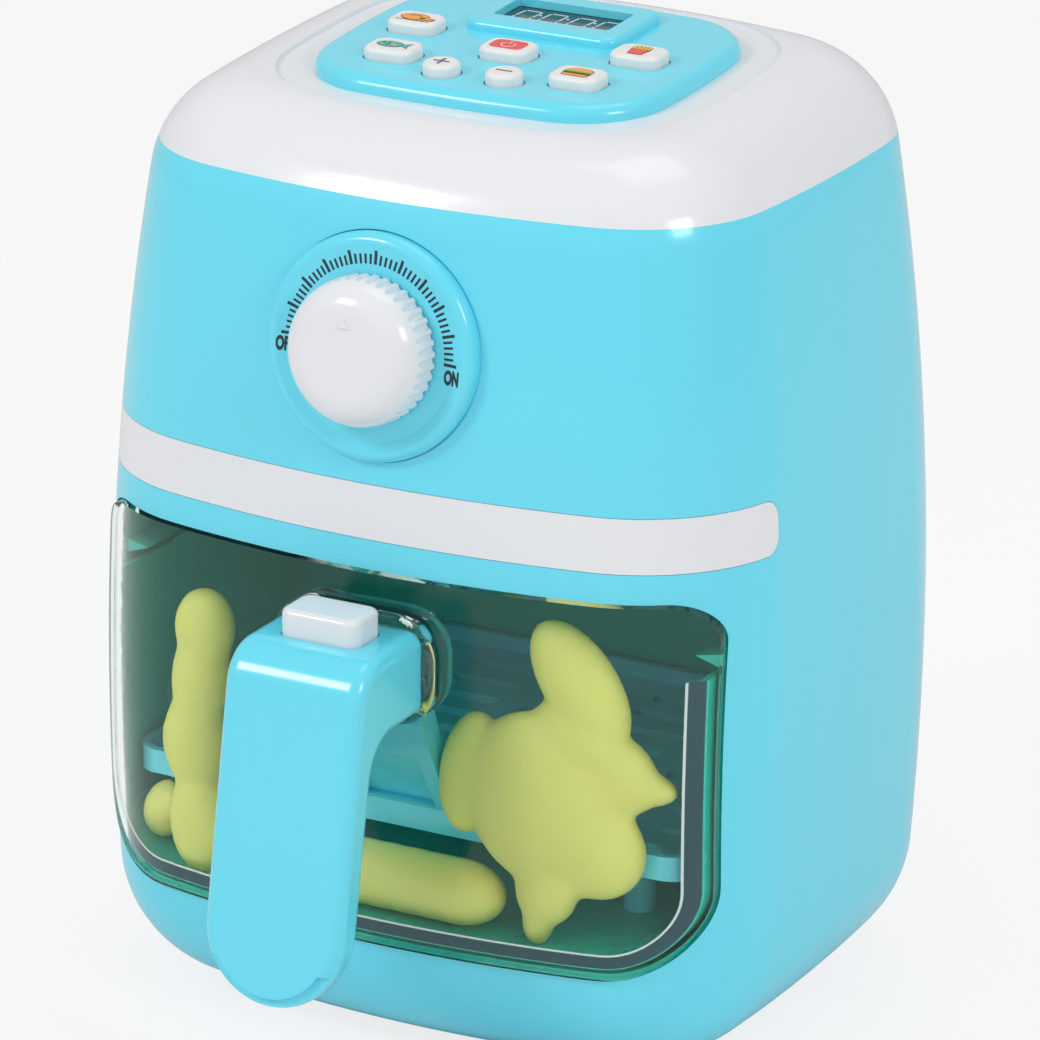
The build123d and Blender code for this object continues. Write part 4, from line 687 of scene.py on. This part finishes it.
def play_food(mat):
    """The pieces that lie between the window and the rack."""
    blob("roast_skin", "roast_chicken", [
        ((40, -66.6, 71), (19, 7.6, 22), -14),
        ((53, -64.2, 61), (14, 7, 13), 20),
        ((49.5, -64.8, 101), (9.5, 6.6, 17.5), -38),
        ((50, -64.6, 88), (13, 6.8, 9), 20),
        ((59, -62.8, 80), (11, 5.6, 9), 40),
        ((67, -61.4, 77), (6.5, 4, 3.8), 0),
        ((43, -67.4, 49), (8, 5.8, 9), 0),
        ((41, -67.4, 41), (3.8, 4.6, 6.5), 0),
        ((21.5, -65.2, 74), (8, 6, 16), 8),
    ], mat)
    blob("drumstick_skin", "drumstick", [
        ((-50.5, -65.6, 97), (7.8, 6.2, 10), 0),
        ((-51.5, -65.8, 84), (7.6, 6, 14), 4),
        ((-53, -66, 68), (8.6, 6.4, 13), 0),
        ((-51, -66.2, 47), (8.6, 6.4, 14), -6),
    ], mat)
    blob("nugget_skin", "nugget", [
        ((-65.8, -59.2, 45), (5.6, 4.8, 7.6), 12),
        ((-63.5, -59.5, 47), (4.6, 4.6, 5), 0),
    ], mat, NUGGET_VOXEL)
    blob("sausage_skin", "sausage", [
        ((x, -67, 43.8), (12, 7.9, 8.1), 0) for x in SAUSAGE_X
    ], mat)


# Painted shade and painted highlight strips behind the window


def mouth_path():
    """Points along the tray's mouth: down the right side, across and up the left side."""
    low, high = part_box("drawer_tray")
    half, floor, top = high.x / MM, low.z / MM, high.z / MM
    x, z, r = half - TRAY_CORNER, floor + TRAY_CORNER, TRAY_CORNER
    turns = [(half, top)]
    turns += ellipse(x, z, r, r, 0, -90, CORNER_STEPS)
    turns += ellipse(-x, z, r, r, -90, -180, CORNER_STEPS)
    turns += [(-half, top)]
    path = []
    for start, end in zip(turns, turns[1:]):
        count = max(1, round(math.dist(start, end) / STRIP_STEP))
        path += [between(start, end, i, count) for i in range(count)]
    return path + turns[-1:]


def inset_path(inset):
    """The strips' path moved inwards, with its two ends level with the tray's rim."""
    path = mouth_path()
    line = swollen(path, inset)
    line[0] = (path[0][0] - inset, path[0][1])
    line[-1] = (path[-1][0] + inset, path[-1][1])
    return line


def window_strip(name, first, last, mat):
    """A thin strip on the window's inner face, between two distances in from the tray's outside."""
    window = NODES["drawer_window"].data
    corners = [vertex.co for vertex in window.vertices]
    tree = BVHTree.FromPolygons(corners, [list(face.vertices) for face in window.polygons])
    steps = max(1, round(last - first))
    mesh = bmesh.new()
    rows = []
    for outer, inner in zip(inset_path(first), inset_path(last)):
        front, back = [], []
        for i in range(steps + 1):
            x, z = between(outer, inner, i, steps)
            hit = tree.ray_cast(Vector((x, 0, z)) * MM, Vector((0, -1, 0)))[0]
            front.append(mesh.verts.new(hit + Vector((0, STRIP_NEAR * MM, 0))))
            back.append(mesh.verts.new(hit + Vector((0, STRIP_FAR * MM, 0))))
        rows.append(front + back[::-1])
    for row, following in zip(rows, rows[1:]):
        for i in range(len(row)):
            mesh.faces.new((row[i - 1], row[i], following[i], following[i - 1]))
    mesh.faces.new(rows[0])
    mesh.faces.new(rows[-1][::-1])
    piece(name, mesh, mat, "drawer")


# Camera, floor and light
camera()
studio_floor()
surroundings()
for box, setting in SOFT_BOXES.items():
    soft_box(box, **setting)

# Materials
teal = plastic("teal_plastic", TEAL, roughness=0.2, coat=0.35)
# Teal plastic with painted shade and a painted greenish reflection cast, for the chamber and tray
teal_painted_shade = plastic("teal_plastic_painted_shade", TEAL_PAINTED_SHADE, roughness=0.25)
white = plastic("white_plastic", WHITE, roughness=0.18, coat=0.3)
key_white = plastic("key_white_plastic", KEY_WHITE, roughness=0.35)
clear = clear_plastic("clear_plastic", GLASS_TINT)
food = vinyl("food_vinyl", FOOD)
ink = plastic("black_ink", INK, roughness=0.4)
grey_ink = plastic("grey_ink", GREY_INK, roughness=0.4)
lens = plastic("dark_lens", LENS, roughness=0.08, coat=0.5, grain=0.0)
rubber = plastic("foot_rubber", RUBBER, roughness=0.7, grain=0.4)
steel = metal("zinc_steel", STEEL, roughness=0.3)
icon_inks = {
    name: plastic(name + "_ink", colour, roughness=0.45) for name, colour in ICON_COLOURS.items()
}
grey = plastic("grey_plastic", GREY, roughness=0.5)
board = plastic("board_green", BOARD, roughness=0.45)
jacket = plastic("cell_jacket", JACKET, roughness=0.3)
wire = plastic("wire_sleeve", WIRE, roughness=0.45)
dark_metal = metal("speaker_metal", DARK_METAL, roughness=0.45)
digit_ink = plastic("digit_ink", DIGITS, roughness=0.4)
edge_shade = plastic("painted_edge_shade", EDGE_SHADE, roughness=0.5)

# Looks of the CAD pieces: teal, except where a later line says otherwise
dress(teal, *NODES)
# Chamber and tray: teal with painted shade and a painted greenish cast of the food's reflections
dress(teal_painted_shade, "chamber_liner", "drawer_tray")
dress(key_white, *(node for node in NODES if node.endswith("_button")))
dress(white, "lid", "accent_band", "timer_knob", "release_button")
dress(clear, "drawer_window", "handle_bracket")
dress(lens, "display_lens")
dress(rubber, "rubber_feet", "keypad_mat")
dress(grey, "dial_switch", "display_module", "timer_shaft")
dress(board, "control_board")
dress(jacket, "battery_cells")
dress(wire, "battery_leads", "speaker_leads", "dial_leads")
dress(dark_metal, "speaker")
dress(steel, *(node for node in NODES if "screw" in node), "battery_contacts", "release_spring")

# Pieces made here
key_pictures(grey_ink, icon_inks)
display_digits(digit_ink)
dial_scale(ink)
dial_word("dial_off", "OFF", OFF_PLACE, ink)
dial_word("dial_on", "ON", ON_PLACE, ink)
play_food(food)
# A dark strip of painted shade on the window's inner face where the tray's edge shows dark
shade_end = SHADE_INSET + SHADE_WIDTH
window_strip("tray_edge_painted_shade", SHADE_INSET, shade_end, edge_shade)
# A white strip of painted highlight beside the painted shade
window_strip("tray_edge_painted_highlight", shade_end, shade_end + HIGHLIGHT_WIDTH, white)

bpy.context.scene.view_settings.view_transform = "Standard"
